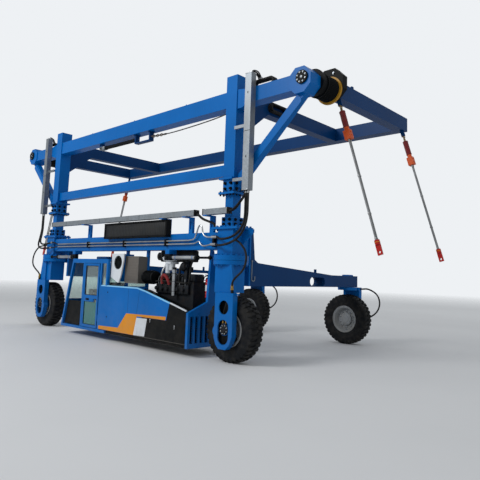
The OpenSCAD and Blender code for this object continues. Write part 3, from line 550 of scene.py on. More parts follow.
def block(bm, low, high, round_mm=3):
    """A box between two corners in mm, its edges rounded."""
    low, high = mm(*low), mm(*high)
    size = [abs(s) for s in high - low]
    where = Matrix.Translation((low + high) / 2) @ Matrix.Diagonal((*size, 1))
    verts = bmesh.ops.create_cube(bm, size=1, matrix=where)["verts"]
    soften(bm, edges_at(verts), min(round_mm / 1000, 0.45 * min(size)), 2)


def blocks(name, finish, boxes, body="base"):
    """A piece of rounded boxes alone, each given as its two corners and its rounding in mm."""
    bm = bmesh.new()
    for box in boxes:
        block(bm, *box)
    return piece(name, bm, finish, body)


def plate(bm, outline, start_mm, end_mm, round_mm=1):
    """A plate of an outline of (x, z) points in mm, from one y to another."""
    face = bm.faces.new([bm.verts.new(mm(x, start_mm, z)) for x, z in outline])
    verts = extruded(bm, [face], (0, end_mm - start_mm, 0))
    if round_mm:
        soften(bm, edges_at([*verts, *face.verts]), round_mm / 1000)


def spun(bm, profile, place, axis, steps=32, closed=False, scale=(1, 1, 1)):
    """A turned form: (radius, height) points in mm, spun about an axis through a place in mm."""
    before = set(bm.verts)
    verts = [bm.verts.new(mm(r, 0, h)) for r, h in profile]
    pairs = list(zip(verts, verts[1:])) + ([(verts[-1], verts[0])] if closed else [])
    edges = [bm.edges.new(pair) for pair in pairs]
    bmesh.ops.spin(bm, geom=verts + edges, cent=(0, 0, 0), axis=UP, dvec=(0, 0, 0), angle=math.tau,
                   steps=steps, use_merge=True)
    made = newer(bm, before)
    bmesh.ops.remove_doubles(bm, verts=made, dist=1e-6)
    made = [v for v in made if v.is_valid]
    where = turned(mm(*place), axis) @ Matrix.Diagonal((*scale, 1))
    bmesh.ops.transform(bm, matrix=where, verts=made)


def tube(bm, inner, outer, length, place, axis, steps):
    """A plain sleeve along an axis from a place; sizes in mm."""
    spun(bm, [(inner, 0), (outer, 0), (outer, length), (inner, length)], place, axis, steps, closed=True)


def rod(bm, place, axis, radius, length, steps=20, chamfer=2):
    """A round bar from a place along an axis, its ends chamfered; sizes in mm."""
    spun(bm, [(0, 0), (radius - chamfer, 0), (radius, chamfer), (radius, length - chamfer),
              (radius - chamfer, length), (0, length)], place, axis, steps)


def hoop(bm, place, axis, radius, wire, steps=28, sides=8, stretch=1.0):
    """A ring of round wire, stretched into a link if asked; sizes in mm."""
    circle = [(radius + wire * math.cos(math.tau * k / sides), wire * math.sin(math.tau * k / sides))
              for k in range(sides)]
    spun(bm, circle, place, axis, steps, closed=True, scale=(stretch, 1, 1))


def sweep(bm, points, radius, sides=10, rounds=2):
    """A hose, pipe or cable through points in mm, its corners cut rounds times, as the solids' are."""
    path = [mm(*p) for p in points]
    for _ in range(rounds):
        cut = [q for a, b in zip(path, path[1:]) for q in (a.lerp(b, 0.25), a.lerp(b, 0.75))]
        path = [path[0], *cut, path[-1]]
    heading = (path[1] - path[0]).normalized()
    ring = bmesh.ops.create_circle(bm, segments=sides, radius=radius / 1000,
                                   matrix=turned(path[0], heading))["verts"]
    bmesh.ops.edgeloop_fill(bm, edges=loop_edges(ring))
    for i in range(1, len(path)):
        ahead = (path[min(i + 1, len(path) - 1)] - path[i - 1]).normalized()
        grown = bmesh.ops.extrude_edge_only(bm, edges=loop_edges(ring))["geom"]
        ring = [g for g in grown if isinstance(g, bmesh.types.BMVert)]
        step = Matrix.Translation(path[i]) @ heading.rotation_difference(ahead).to_matrix().to_4x4()
        bmesh.ops.transform(bm, matrix=step @ Matrix.Translation(-path[i - 1]), verts=ring)
        heading = ahead
    bmesh.ops.edgeloop_fill(bm, edges=loop_edges(ring))


def frame_loop(x0, x1, z0, z1, y):
    """Points of a rectangle with cut corners in XZ, in mm, closed on itself."""
    corner, overlap = 30, 10
    return [(x0 + corner, y, z0), (x1 - corner, y, z0), (x1, y, z0 + corner), (x1, y, z1 - corner),
            (x1 - corner, y, z1), (x0 + corner, y, z1), (x0, y, z1 - corner), (x0, y, z0 + corner),
            (x0 + corner, y, z0), (x0 + corner + overlap, y, z0)]


WHEELS = ("near_front", "near_rear", "far_front", "far_rear")
NEAR_WHEELS = ((1, "near_front"), (-1, "near_rear"))
# Where the solids stand that the pieces are fitted to, in mm
LEG_X, LEG_Y, LEG_HALF = 3410, -2050, 200
BEAM_FACE, PANEL_FACE, ENGINE_FACE = -2200, -2480, -2100
HUB_X, HUB_Z = 5080, 4960
DUCT_X, DUCT_Y = 3935, -2245
BEAM_UNDERSIDE = 4782
# From a wheel's middle to the outer face of its fork
FORK_FACE = 260
# Where the near forks' hoses are coupled
COUPLING_X, COUPLING_Y = LEG_X + 315, LEG_Y - 273


def wheel_centre(name):
    """Centre of a wheel in mm and the side its fork's arm is on."""
    low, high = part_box("rim_" + name)
    return (low + high) * 500, -1 if name.startswith("near") else 1


class CARRIER_OT_tyres(bpy.types.Operator):
    """Tyres with a rounded carcass and staggered lugs that wrap the shoulders"""

    bl_idname = "carrier.tyres"
    bl_label = "Tyres"

    def execute(self, context):
        lugs = context.scene.carrier_sizes.tread_lugs
        half = [(306, 126), (320, 143), (334, 141), (372, 151), (379, 156), (388, 152), (430, 159),
                (496, 157), (545, 149), (562, 136), (569, 112), (571, 60), (571, 0)]
        carcass = [(r, -y) for r, y in half] + [(r, y) for r, y in reversed(half[:-1])]
        # Outer line of a lug from the middle over the shoulder: across, radius, half its width, lead
        line = [(5, 592.2, 28, 24), (60, 593.1, 30, 15), (110, 591.5, 31, 6), (139, 582, 31, 0),
                (155, 560, 29, 0), (159.5, 515, 20, 0)]
        sunk = 30
        for name in WHEELS:
            centre, arm = wheel_centre(name)
            bm = bmesh.new()
            spun(bm, carcass, centre, FAR, 72, closed=True)
            lug_verts = []
            for side, shift in ((arm, 0), (-arm, 0.5)):
                for n in range(lugs):
                    sheet = bmesh.ops.create_grid(bm, x_segments=1, y_segments=len(line) - 1, size=1)["verts"]
                    for vert in sheet:
                        y, r, wide, lead = line[round((vert.co.y + 1) / 2 * (len(line) - 1))]
                        vert.co = mm(lead + math.copysign(wide, vert.co.x), side * y, -r)
                    inner = extruded(bm, faces_at(sheet), (0, -side * 16, sunk))
                    turn = Matrix.Rotation(math.tau * (n + shift) / lugs, 4, "Y")
                    where = Matrix.Translation(mm(*centre)) @ turn
                    bmesh.ops.transform(bm, matrix=where, verts=sheet + inner)
                    lug_verts += sheet
            soften(bm, [e for e in edges_at(lug_verts) if e.calc_face_angle(0) > 0.9], 0.006)
            made = piece("tyre_tread_" + name, bm, "tyre", "wheel_" + name, smooth=28)
            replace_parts(made, "tyre_" + name)
        return {"FINISHED"}


class CARRIER_OT_rims(bpy.types.Operator):
    """Bead flanges, wheel nuts and hub caps on the rims"""

    bl_idname = "carrier.rims"
    bl_label = "Rims"

    def execute(self, context):
        count = context.scene.carrier_sizes.wheel_nuts
        for name in WHEELS:
            (x, y, z), arm = wheel_centre(name)
            bm = bmesh.new()
            for side in (-1, 1):
                hoop(bm, (x, y + side * 139, z), FAR, 311, 11, 64)
                hoop(bm, (x, y + side * 128, z), FAR, 286, 7, 56)
            # Hub cap over the end of the stub axle, on the side away from the fork's arm
            spun(bm, [(0, 4), (90, 4), (90, 0), (139, 0), (139, 8), (112, 14), (84, 16), (76, 27), (0, 31)],
                 (x, y - arm * 60, z), (0, -arm, 0), 40)
            piece("rim_rings_" + name, bm, "silver", "wheel_" + name)
            bm = bmesh.new()
            for side in (-1, 1):
                bolt_ring(bm, (x, y + side * 20, z), (0, side, 0), 190, count, 32, 30)
            bolt_ring(bm, (x, y - arm * 68, z), (0, -arm, 0), 122, 8, 18, 14)
            piece("wheel_nuts_" + name, bm, "pipe", "wheel_" + name)
        return {"FINISHED"}


class CARRIER_OT_hub_motors(bpy.types.Operator):
    """Wheel motors seen through the forks' openings, with painted shade in the hollow arms, their hoses and
    couplings
    """

    bl_idname = "carrier.hub_motors"
    bl_label = "Hub motors"

    def execute(self, context):
        for name in WHEELS:
            (x, y, z), arm = wheel_centre(name)
            face, body = y + arm * FORK_FACE, "steer_" + name
            bm = bmesh.new()
            spun(bm, [(0, 0), (98, 0), (98, 6), (88, 12), (62, 13), (52, 24), (0, 26)], (x, face, z),
                 (0, arm, 0), 32)
            block(bm, (x - 62, face - 3, z + 62), (x - 12, face + 12, z + 118))
            block(bm, (x + 16, face - 3, z + 62), (x + 58, face + 12, z + 118))
            piece("motor_cover_" + name, bm, "iron", body)
            bm = bmesh.new()
            bolt_ring(bm, (x, face + arm * 12, z), (0, arm, 0), 76, 8, 17, 13)
            piece("motor_bolts_" + name, bm, "pipe", body)
            # Black plate on the back wall of the hollow arm, painted shade seen through both openings
            back = sorted((face - arm * 54, face - arm * 50))
            wall = ((x - 185, back[0], z - 265), (x + 175, back[1], z + 540), 1)
            blocks("arm_painted_shade_" + name, "black", [wall], body)
            bm = bmesh.new()
            for dx in (-37, 37):
                rod(bm, (x + dx, face - arm * 6, z + 112), UP, 17, 46)
            piece("motor_couplings_" + name, bm, "brass", body)
            bm = bmesh.new()
            top = 1235 if arm < 0 else 1270
            for dx, lean in ((-37, 40), (37, 90)):
                low_y, high_y = face - arm * 6, face - arm * 14
                sweep(bm, [(x + dx, low_y, z + 150), (x + dx, low_y, z + 230),
                           (x + dx + lean / 3, face - arm * 10, z + 340), (x + lean, high_y, 1100),
                           (x + lean, high_y, top)], 14)
            piece("motor_hoses_" + name, bm, "hose", body)
        return {"FINISHED"}


def adjusters(bm, x, heights, flats, near_mm):
    """Wear-pad adjusters on a collar's near face and on both its sides, at two heights."""
    for z in heights:
        for along in (-75, 75):
            bolt(bm, (x + along, BEAM_FACE, z), NEAR, flats, near_mm)
            for side in (-1, 1):
                bolt(bm, (x + side * 140, LEG_Y + along, z), (side, 0, 0), flats, 36)


def border(xs, ys, side_x, side_y):
    """Spots along the four sides of a rectangle: ys along both x sides, xs along both y sides."""
    return [(x, y) for x in (-side_x, side_x) for y in ys] + [(x, y) for x in xs for y in (-side_y, side_y)]


class CARRIER_OT_frame_bolts(bpy.types.Operator):
    """Bolts of the slewing flanges, base plates, column flanges and wear-pad adjusters"""

    bl_idname = "carrier.frame_bolts"
    bl_label = "Frame bolts"

    def execute(self, context):
        flats = context.scene.carrier_sizes.bolt_af * 1000
        circle, count = 298, 20
        for s, end in ((1, "front"), (-1, "rear")):
            x0 = s * LEG_X
            bm = bmesh.new()
            bolt_ring(bm, (x0, LEG_Y, 1930), UP, circle, count, flats * 0.75, 26, lambda x, y: y > 190)
            for x, y in border((-200, -100, 0, 100, 200), (-190, -95, 0, 95, 190), 290, 204):
                bolt(bm, (x0 + x, LEG_Y + y, 2460), UP, flats * 0.8, 28)
                if not (s * x > 0 and y == 95) and abs(y) < 200:
                    bolt(bm, (x0 + x, LEG_Y + y, 2420), DOWN, flats * 0.8, 30)
            piece("leg_bolts_" + end, bm, "blue")
            bm = bmesh.new()
            adjusters(bm, x0, (2515, 2600), flats * 0.9, 40)
            piece("collar_adjusters_" + end, bm, "black")
            bm = bmesh.new()
            adjusters(bm, x0, (3185, 3290), flats * 0.95, 44)
            for x, y in border((-86, 0, 86), (-180, -90, 0, 90, 180), 172, 182):
                bolt(bm, (x0 + x, LEG_Y + y, 3120), UP, flats * 0.62, 24)
                bolt(bm, (x0 + x, LEG_Y + y, 3080), DOWN, flats * 0.62, 30)
            piece("column_bolts_" + end, bm, "black", "lifting_frame")
            bm = bmesh.new()
            bolt_ring(bm, (x0, LEG_Y, 1760), DOWN, circle, count, flats * 0.75, 24,
                      lambda x, y: s * x > 0 and -270 < y < -150)
            piece("flange_bolts_near_" + end, bm, "blue", "steer_near_" + end)
        return {"FINISHED"}


class CARRIER_OT_panels(bpy.types.Operator):
    """Film, blank plate, seams, latches, rails and sill of the side panels, engine cover and louvre"""

    bl_idname = "carrier.panels"
    bl_label = "Side panels"

    def execute(self, context):
        face, rail_y, film_mm = PANEL_FACE, -2463, 0.6
        stripe = [(-308, 247), (1046, 247), (1131, 612), (1144, 642), (2090, 642), (2096, 709), (754, 673),
                  (469, 343), (-308, 322)]
        latches = ((1599, 598), (2370, 533))
        bm = bmesh.new()
        plate(bm, stripe, face, face - film_mm, round_mm=0)
        piece("stripe_film", bm, "orange")
        bm = bmesh.new()
        plate(bm, [(1132, 611), (1497, 621), (1431, 257), (1046, 249)], face, face - 1.4, round_mm=0.4)
        piece("blank_plate", bm, "white")
        bm = bmesh.new()
        for x0, z0, x1, z1 in ((795, 1205, 798, 690), (1194, 1195, 1124, 690)):
            plate(bm, [(x0, z0), (x0 + 5, z0), (x1 + 5, z1), (x1, z1)], face, face - 0.5, round_mm=0)
        for x, z in ((-7, 1084), (1, 540)):
            spun(bm, [(0, 0), (17, 0), (17, 2), (13, 4), (0, 4)], (x, face, z), NEAR, 20)
        for x, z in latches:
            plate(bm, [(x - 26, z - 48), (x + 26, z - 48), (x + 26, z + 48), (x - 26, z + 48)], face, face - 2)
        piece("panel_seams", bm, "black")
        bm = bmesh.new()
        for x, z in latches:
            spun(bm, [(0, 0), (19, 0), (19, 2), (15, 4), (0, 4)], (x, face, z + 18), NEAR, 20)
            block(bm, (x - 9, face - 4, z - 42), (x + 9, face - 0.5, z + 6), 1.5)
        piece("panel_latches", bm, "pipe")
        bm = bmesh.new()
        sweep(bm, [(-300, rail_y, 1219), (900, rail_y, 1219), (1165, rail_y, 1219), (2196, rail_y, 974)], 20,
              rounds=1)
        # The coping's paler blue is a painted highlight
        piece("panel_coping", bm, "highlight_blue")
        bm = bmesh.new()
        sweep(bm, [(2206, rail_y, 978), (2690, rail_y, 860)], 19, rounds=0)
        piece("lower_panel_rail", bm, "white")
        blocks("panel_sill", "tank", [((1066, face + 1, 238), (2700, -2452, 246.5), 1)])
        bm = bmesh.new()
        block(bm, (2688, -2432, 250), (2697, -1850, 772), 1)
        for z in range(285, 726, 44):
            plate(bm, [(2699, z), (2703, z), (2732, z - 22), (2728, z - 22)], -2428, -1856, round_mm=0)
        piece("louvre_blades", bm, "black")
        # Cover that slopes down between the panel's top edge and the engine
        bm = bmesh.new()
        slope = [(900, 1195), (1150, 1195), (2170, 950), (2690, 826)]
        plate(bm, slope + [(x, z - 8) for x, z in reversed(slope)], -2448, -2170, round_mm=0.5)
        for x, z in ((1300, 1159), (1620, 1082), (2000, 991), (2350, 907)):
            block(bm, (x, -2440, z), (x + 40, -2230, z + 8), 2)
        piece("engine_cover", bm, "black")
        bm = bmesh.new()
        for y in (-2450, -2200):
            for z in (210, 800):
                bolt(bm, (2760, y, z), FRONT, 22, 12)
        piece("bulkhead_bolts", bm, "blue")
        return {"FINISHED"}


class CARRIER_OT_cab(bpy.types.Operator):
    """Panes, seals, lower and inner panels, roof box, step, lock and handle of the cab"""

    bl_idname = "carrier.cab"
    bl_label = "Cab shell"

    def execute(self, context):
        # Just inside the cab's near and far posts
        near_y, far_y = -2418, -1392
        bm = bmesh.new()
        plate(bm, [(-312, 1216), (-118, 1216), (-118, 1732), (-312, 1732)], -2454, -2448)
        plate(bm, [(-1785, 1010), (-124, 1010), (-124, 1728), (-1624, 1728)], -1364, -1358)
        plate(bm, [(-1826, 850), (-1820, 850), (-1606, 1730), (-1612, 1730)], near_y, far_y)
        piece("cab_panes", bm, "glass")
        bm = bmesh.new()
        plate(bm, [(-1968, 234), (-104, 234), (-104, 1000), (-1780, 1000)], -1384, -1376)
        plate(bm, [(-1975, 236), (-1965, 236), (-1822, 845), (-1832, 845)], near_y, far_y)
        block(bm, (-470, -2478, 1592), (-412, -2426, 1676), 14)
        block(bm, (-368, -2478, 1592), (-318, -2424, 1676), 14)
        piece("cab_lower_panels", bm, "blue")
        bm = bmesh.new()
        plate(bm, [(-1942, 236), (-1142, 236), (-1142, 812), (-1806, 812)], -2436, -2430)
        block(bm, (-1940, near_y, 232), (-64, far_y, 240), 2)
        block(bm, (-104, -2440, 240), (-96, -1400, 1200), 1)
        piece("cab_lining", bm, "black")
        bm = bmesh.new()
        for z0, z1 in ((302, 898), (982, 1668)):
            sweep(bm, frame_loop(-1006, -464, z0, z1, -2466), 9, 8, 1)
        piece("door_seals", bm, "hose", "cab_door")
        bm = bmesh.new()
        plate(bm, [(-1000, 310), (-470, 310), (-470, 822), (-1000, 822)], -2462, -2457)
        piece("door_lower_pane", bm, "teal_glass", "cab_door")
        blocks("door_lock_box", "blue", [((-1060, -2479, 826), (-600, -2428, 936), 10)], "cab_door")
        handle = [((-940, PANEL_FACE, 856), (-790, -2474, 908), 4),
                  ((-915, PANEL_FACE, 874), (-815, -2478.5, 888), 1)]
        blocks("door_handle", "black", handle, "cab_door")
        slats = [((x, -2436, 1882), (x + 35, -1964, 1888), 2) for x in range(-610, -204, 58)]
        # The roof box takes the blue painted darker as shade
        blocks("roof_box", "deep_blue", [((-640, -2440, 1830), (-200, -1960, 1882), 8), *slats])
        blocks("door_step", "white", [((-1000, -2424, 232), (-470, -2340, 248), 4),
                                      ((-1000, -2424, 240), (-470, -2414, 290), 3)])
        return {"FINISHED"}


def cushion(low, high, across):
    """A padded shape between two corners in mm: crowned and stitched over its thickness, the axis across."""
    bm = bmesh.new()
    low, high = mm(*low), mm(*high)
    cube = bmesh.ops.create_cube(bm, size=2)["verts"]
    bmesh.ops.subdivide_edges(bm, edges=edges_at(cube), cuts=7, use_grid_fill=True)
    edge, stitch_at, stitch_wide = 0.72, 0.55, 0.09
    for vert in bm.verts:
        flat = vert.co[across]
        a, b = [c for k, c in enumerate(vert.co) if k != across]
        crown = (1 - a * a) * (1 - b * b)
        # Two stitched channels sink between the bolsters and the middle
        channel = math.exp(-((abs(b if across == 2 else a) - stitch_at) / stitch_wide) ** 2)
        rise = edge + 0.28 * crown ** 0.4 - 0.14 * channel if crown > 0 else edge
        spot = [c * (1 - 0.05 * (1 - flat * flat)) for c in vert.co]
        spot[across] = flat * rise
        vert.co = (low + high) / 2 + Vector(c * s / 2 for c, s in zip(spot, high - low))
    return bm


class CARRIER_OT_cab_inside(bpy.types.Operator):
    """Sprung seat, steering column, dashboard and levers"""

    bl_idname = "carrier.cab_inside"
    bl_label = "Cab inside"

    def execute(self, context):
        for name, low, high, across in (("seat_cushion", (-1000, -2130, 540), (-560, -1680, 668), 2),
                                        ("seat_back", (-606, -2120, 640), (-482, -1690, 1296), 0)):
            made = piece(name, cushion(low, high, across), "seat", smooth=60)
            soft = made.modifiers.new("smooth", "SUBSURF")
            soft.levels = soft.render_levels = 1
        bm = bmesh.new()
        # Bellows under the seat, every second fold drawn in
        for n in range(6):
            fold, z = 6 * (n % 2), 240 + n * 46
            block(bm, (-940 + fold, -2070 + fold, z), (-620 - fold, -1740 - fold, z + 42), 12)
        block(bm, (-960, -2090, 512), (-590, -1720, 545), 8)
        # Armrests with their levers
        for y in (-2150, -1700):
            block(bm, (-900, y, 800), (-560, y + 50, 850), 14)
            block(bm, (-600, y + 12, 700), (-560, y + 38, 810), 5)
            sweep(bm, [(-870, y + 25, 845), (-880, y + 25, 900), (-885, y + 25, 950)], 9)
            hoop(bm, (-887, y + 25, 955), UP, 8, 12, 12)
        # Dashboard, its post and its screen
        block(bm, (-1720, -2110, 820), (-1500, -1700, 950), 24)
        block(bm, (-1700, -1960, 240), (-1560, -1850, 830), 12)
        block(bm, (-1560, -2040, 950), (-1520, -1820, 1090), 8)
        made = piece("seat_and_dash", bm, "seat")
        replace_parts(made, "cab_fittings")
        bm = bmesh.new()
        hub, lean = (-1330, -1905, 985), (0.55, 0, 0.83)
        hoop(bm, hub, lean, 180, 13, 40)
        spun(bm, [(0, -10), (42, -10), (42, 8), (30, 16), (0, 16)], hub, lean, 24)
        for a in map(math.radians, (90, 210, 330)):
            out = Vector((math.cos(a) * -lean[2], math.sin(a), math.cos(a) * lean[0]))
            sweep(bm, [hub, tuple(Vector(hub) + out * 90), tuple(Vector(hub) + out * 176)], 9, rounds=0)
        sweep(bm, [(-1520, -1905, 830), (-1400, -1905, 900), (-1335, -1905, 980)], 22)
        piece("steering_wheel", bm, "hose")
        return {"FINISHED"}


class CARRIER_OT_engine(bpy.types.Operator):
    """Engine side seen over the panel, and fittings of the alternator, exhaust and extinguisher"""

    bl_idname = "carrier.engine"
    bl_label = "Engine"

    def execute(self, context):
        y = ENGINE_FACE
        ports = range(1360, 2211, 170)
        bm = bmesh.new()
        # Manifold with its ports, head covers, turbocharger and pump
        block(bm, (1330, y - 60, 1150), (2350, y, 1340), 14)
        for x in ports:
            spun(bm, [(0, 0), (50, 0), (50, 10), (42, 14), (38, 40), (0, 40)], (x, y - 60, 1245), NEAR, 24)
            for dz in (-62, 62):
                bolt(bm, (x, y - 60, 1245 + dz), NEAR, 24, 18)
        block(bm, (1305, y + 40, 1400), (2440, y + 300, 1560), 30)
        for x in range(1350, 2251, 180):
            block(bm, (x, y + 26, 1420), (x + 130, y + 44, 1540), 10)
        block(bm, (2200, y - 58, 1400), (2290, y + 58, 1820), 16)
        spun(bm, [(0, 0), (60, 0), (78, 22), (84, 60), (84, 96), (70, 120), (40, 132), (40, 168), (0, 168)],
             (2160, y - 60, 1715), FRONT, 36)
        hoop(bm, (2200, y - 60, 1700), FRONT, 62, 34, 30)
        block(bm, (2080, y - 50, 1345), (2180, y + 30, 1500), 18)
        made = piece("engine_castings", bm, "iron")
        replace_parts(made, "engine_fittings")
        # Air box with its ribbed cap, wiring, and hoses
        bm = bmesh.new()
        block(bm, (1300, y + 40, 1800), (2350, y + 200, 2036), 20)
        spun(bm, [(0, 0), (60, 0), (60, 12), (85, 14), (85, 24), (74, 34), (85, 44), (85, 54), (74, 64),
                  (85, 74), (85, 84), (40, 88), (30, 120), (0, 120)], (1400, y + 20, 1910), NEAR, 40)
        for x0, z0 in ((1960, 1590), (2040, 1480), (1500, 1420)):
            sweep(bm, [(x0, y - 20, z0), (x0 + 40, y - 50, z0 + 60), (x0 + 130, y - 40, z0 + 30),
                       (x0 + 190, y + 10, z0 + 110), (x0 + 240, y + 40, z0 + 190)], 9)
        low_way = [(1330, y - 80, 1380), (1500, y - 95, 1400), (1900, y - 95, 1395), (2330, y - 75, 1370)]
        sweep(bm, low_way, 16)
        for x in (2090, 2300):
            block(bm, (x, y + 10, 1600), (x + 60, y + 60, 1700), 10)
        sweep(bm, [(2060, y - 40, 1340), (2080, y - 70, 1450), (2110, y - 90, 1560), (2080, y - 60, 1680),
                   (2070, y + 20, 1760), (2070, y + 80, 1820)], 24, 12)
        sweep(bm, [(2320, y - 30, 1340), (2390, y - 60, 1450), (2400, y - 60, 1620), (2320, y + 20, 1740),
                   (2300, y + 80, 1820)], 20, 12)
        piece("engine_hoses", bm, "hose")
        bm = bmesh.new()
        for x, r, low, high in ((1700, 50, 1560, 1750), (1840, 62, 1620, 1760)):
            spun(bm, [(0, 0), (r - 12, 0), (r, 12), (r, 60), (r + 3, 64), (r + 3, 72), (r, 76),
                      (r, high - low), (0, high - low)], (x, y - 65, low), UP, 32)
        block(bm, (1640, y - 100, 1752), (1900, y + 60, 1800), 10)
        spun(bm, [(0, 0), (44, 0), (52, 8), (52, 360), (44, 368), (0, 368)], (1560, y - 50, 1860), FRONT, 32)
        piece("engine_filters", bm, "white")
        bm = bmesh.new()
        sweep(bm, [(1470, y - 30, 1340), (1470, y - 40, 1500), (1500, y - 40, 1620), (1520, y + 20, 1700),
                   (1520, y + 80, 1820)], 26, 14)
        for x in ports:
            sweep(bm, [(x + 40, y - 50, 1330), (x + 50, y - 70, 1420), (x + 20, y - 30, 1480),
                       (x + 30, y + 60, 1560)], 6, 8)
        for x, z in ((1560, 1860), (1900, 1860), (1935, 1862)):
            hoop(bm, (x, y - 50, z), FRONT, 54, 5, 30)
        hoop(bm, (1470, y - 38, 1430), UP, 27, 4, 24)
        sweep(bm, [(1925, y - 50, 1860), (2060, y - 40, 1870), (2160, y, 1880), (2260, y + 50, 1890)], 30, 14)
        piece("engine_pipes", bm, "pipe")
        bm = bmesh.new()
        sweep(bm, [(1560, y - 80, 1340), (1560, y - 100, 1460), (1620, y - 110, 1530), (1720, y - 110, 1490),
                   (1780, y - 100, 1400), (1790, y - 80, 1330)], 34, 14)
        piece("coolant_hose", bm, "red_hose")
        bm = bmesh.new()
        spun(bm, [(0, 0), (104, 0), (122, 12), (122, 30), (104, 34), (96, 34), (96, 44), (112, 50), (112, 62),
                  (30, 66), (0, 66)], (975, y - 50, 1460), REAR, 36)
        bolt_ring(bm, (980, y - 50, 1460), REAR, 70, 6, 18, 60)
        piece("alternator_pulley", bm, "iron")
        # Bottle valve, hose, bands and a plain label of the extinguisher
        x, y = 2640, -1880
        bm = bmesh.new()
        spun(bm, [(0, 0), (58, 0), (52, 22), (34, 36), (22, 40), (22, 58), (28, 60), (28, 82), (0, 82)],
             (x, y, 1468), UP, 28)
        block(bm, (x - 12, y - 95, 1548), (x + 12, y + 20, 1560), 4)
        block(bm, (x - 12, y - 90, 1522), (x + 12, y + 10, 1534), 4)
        sweep(bm, [(x, y - 20, 1538), (x - 30, y - 80, 1530), (x - 60, y - 90, 1420), (x - 50, y - 68, 1250),
                   (x - 40, y - 66, 1180)], 10)
        piece("extinguisher_valve", bm, "black")
        bm = bmesh.new()
        for z in (1180, 1400):
            hoop(bm, (x, y, z), UP, 60, 4, 32, 6)
        piece("extinguisher_bands", bm, "pipe")
        bm = bmesh.new()
        tube(bm, 60.4, 60.9, 120, (x, y, 1235), UP, 24)
        piece("extinguisher_label", bm, "white")
        x, y = 1955, ENGINE_FACE - 100
        bm = bmesh.new()
        tube(bm, 36, 42, 46, (x, y, 1640), UP, 28)
        for z in (1200, 1400, 1560):
            hoop(bm, (x, y, z), UP, 41, 4, 28)
        piece("exhaust_clamps", bm, "iron")
        return {"FINISHED"}


class CARRIER_OT_fan_and_coolers(bpy.types.Operator):
    """White fan face with its guard and blades, and the coolers' cores, frame and bolts"""

    bl_idname = "carrier.fan_and_coolers"
    bl_label = "Fan and coolers"

    def execute(self, context):
        x, y, z = 206, -2400, 1757
        bore, blades = 155, 9
        bm = bmesh.new()
        outline = [(-48, 1955), (-48, 1425), (235, 1310), (275, 1310), (345, 1480), (420, 1800), (430, 1955)]
        face = bm.faces.new([bm.verts.new(mm(a, y, b)) for a, b in outline])
        hole = bmesh.ops.create_circle(bm, segments=48, radius=bore / 1000, matrix=turned(mm(x, y, z), FAR))
        edges = list(face.edges) + loop_edges(hole["verts"])
        bm.faces.remove(face)
        bmesh.ops.triangle_fill(bm, edges=edges, use_beauty=True)
        extruded(bm, list(bm.faces), (0, 30, 0), use_keep_orig=True)
        spun(bm, [(bore, 0), (163, 0), (166, -5), (160, -8), (153, -6), (152, 26), (bore, 26)],
             (x, y + 8, z), FAR, 48, closed=True)
        made = piece("fan_face", bm, "white", smooth=30)
        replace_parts(made, "fan_panel")
        bm = bmesh.new()
        spun(bm, [(0, 0), (44, 0), (52, 8), (52, 26), (0, 26)], (x, y + 10, z), FAR, 28)
        for radius in (70, 98, 126, 150):
            hoop(bm, (x, y + 7, z), FAR, radius, 2.6, 40, 6)
        for n in range(4):
            a = math.radians(45 * n + 20)
            dx, dz = 152 * math.cos(a), 152 * math.sin(a)
            sweep(bm, [(x - dx, y + 12, z - dz), (x + dx, y + 12, z + dz)], 3.2, 6, 0)
        for n in range(blades):
            blade = bmesh.ops.create_grid(bm, x_segments=4, y_segments=2, size=1)["verts"]
            for vert in blade:
                reach = 95 + 52 * vert.co.x
                across = vert.co.y * (20 + 0.12 * reach)
                vert.co = mm(reach, across * 0.18, across)
            inner = extruded(bm, faces_at(blade), (0, 4, 0), use_keep_orig=True)
            where = Matrix.Translation(mm(x, y + 18, z)) @ Matrix.Rotation(math.tau * n / blades, 4, "Y")
            bmesh.ops.transform(bm, matrix=where, verts=blade + inner)
        rod(bm, (x, y + 27, z), FAR, 151, 2.6, 48, 1)
        piece("fan_guard", bm, "black")
        blocks("oil_cooler_core", "oil_core", [((384, -2303, 1348), (846, -2296, 1884), 2)])
        bm = bmesh.new()
        block(bm, (366, -2310, 1330), (386, -2296, 1900), 3)
        block(bm, (844, -2310, 1330), (870, -2296, 1900), 3)
        block(bm, (366, -2310, 1880), (870, -2200, 1904), 4)
        for n in range(4):
            bolt(bm, (857, -2310, 1400 + n * 140), NEAR, 14, 8)
        piece("oil_cooler_frame", bm, "tank", "base")
        blocks("cooler_core", "core", [((-518, -2316, 2352), (1738, -2309, 2626), 1)])
        bm = bmesh.new()
        for x in range(-540, 1761, 575):
            for z in (2330, 2648):
                bolt(bm, (x, -2330, z), NEAR, 22, 12)
        piece("cooler_trim", bm, "black")
        return {"FINISHED"}


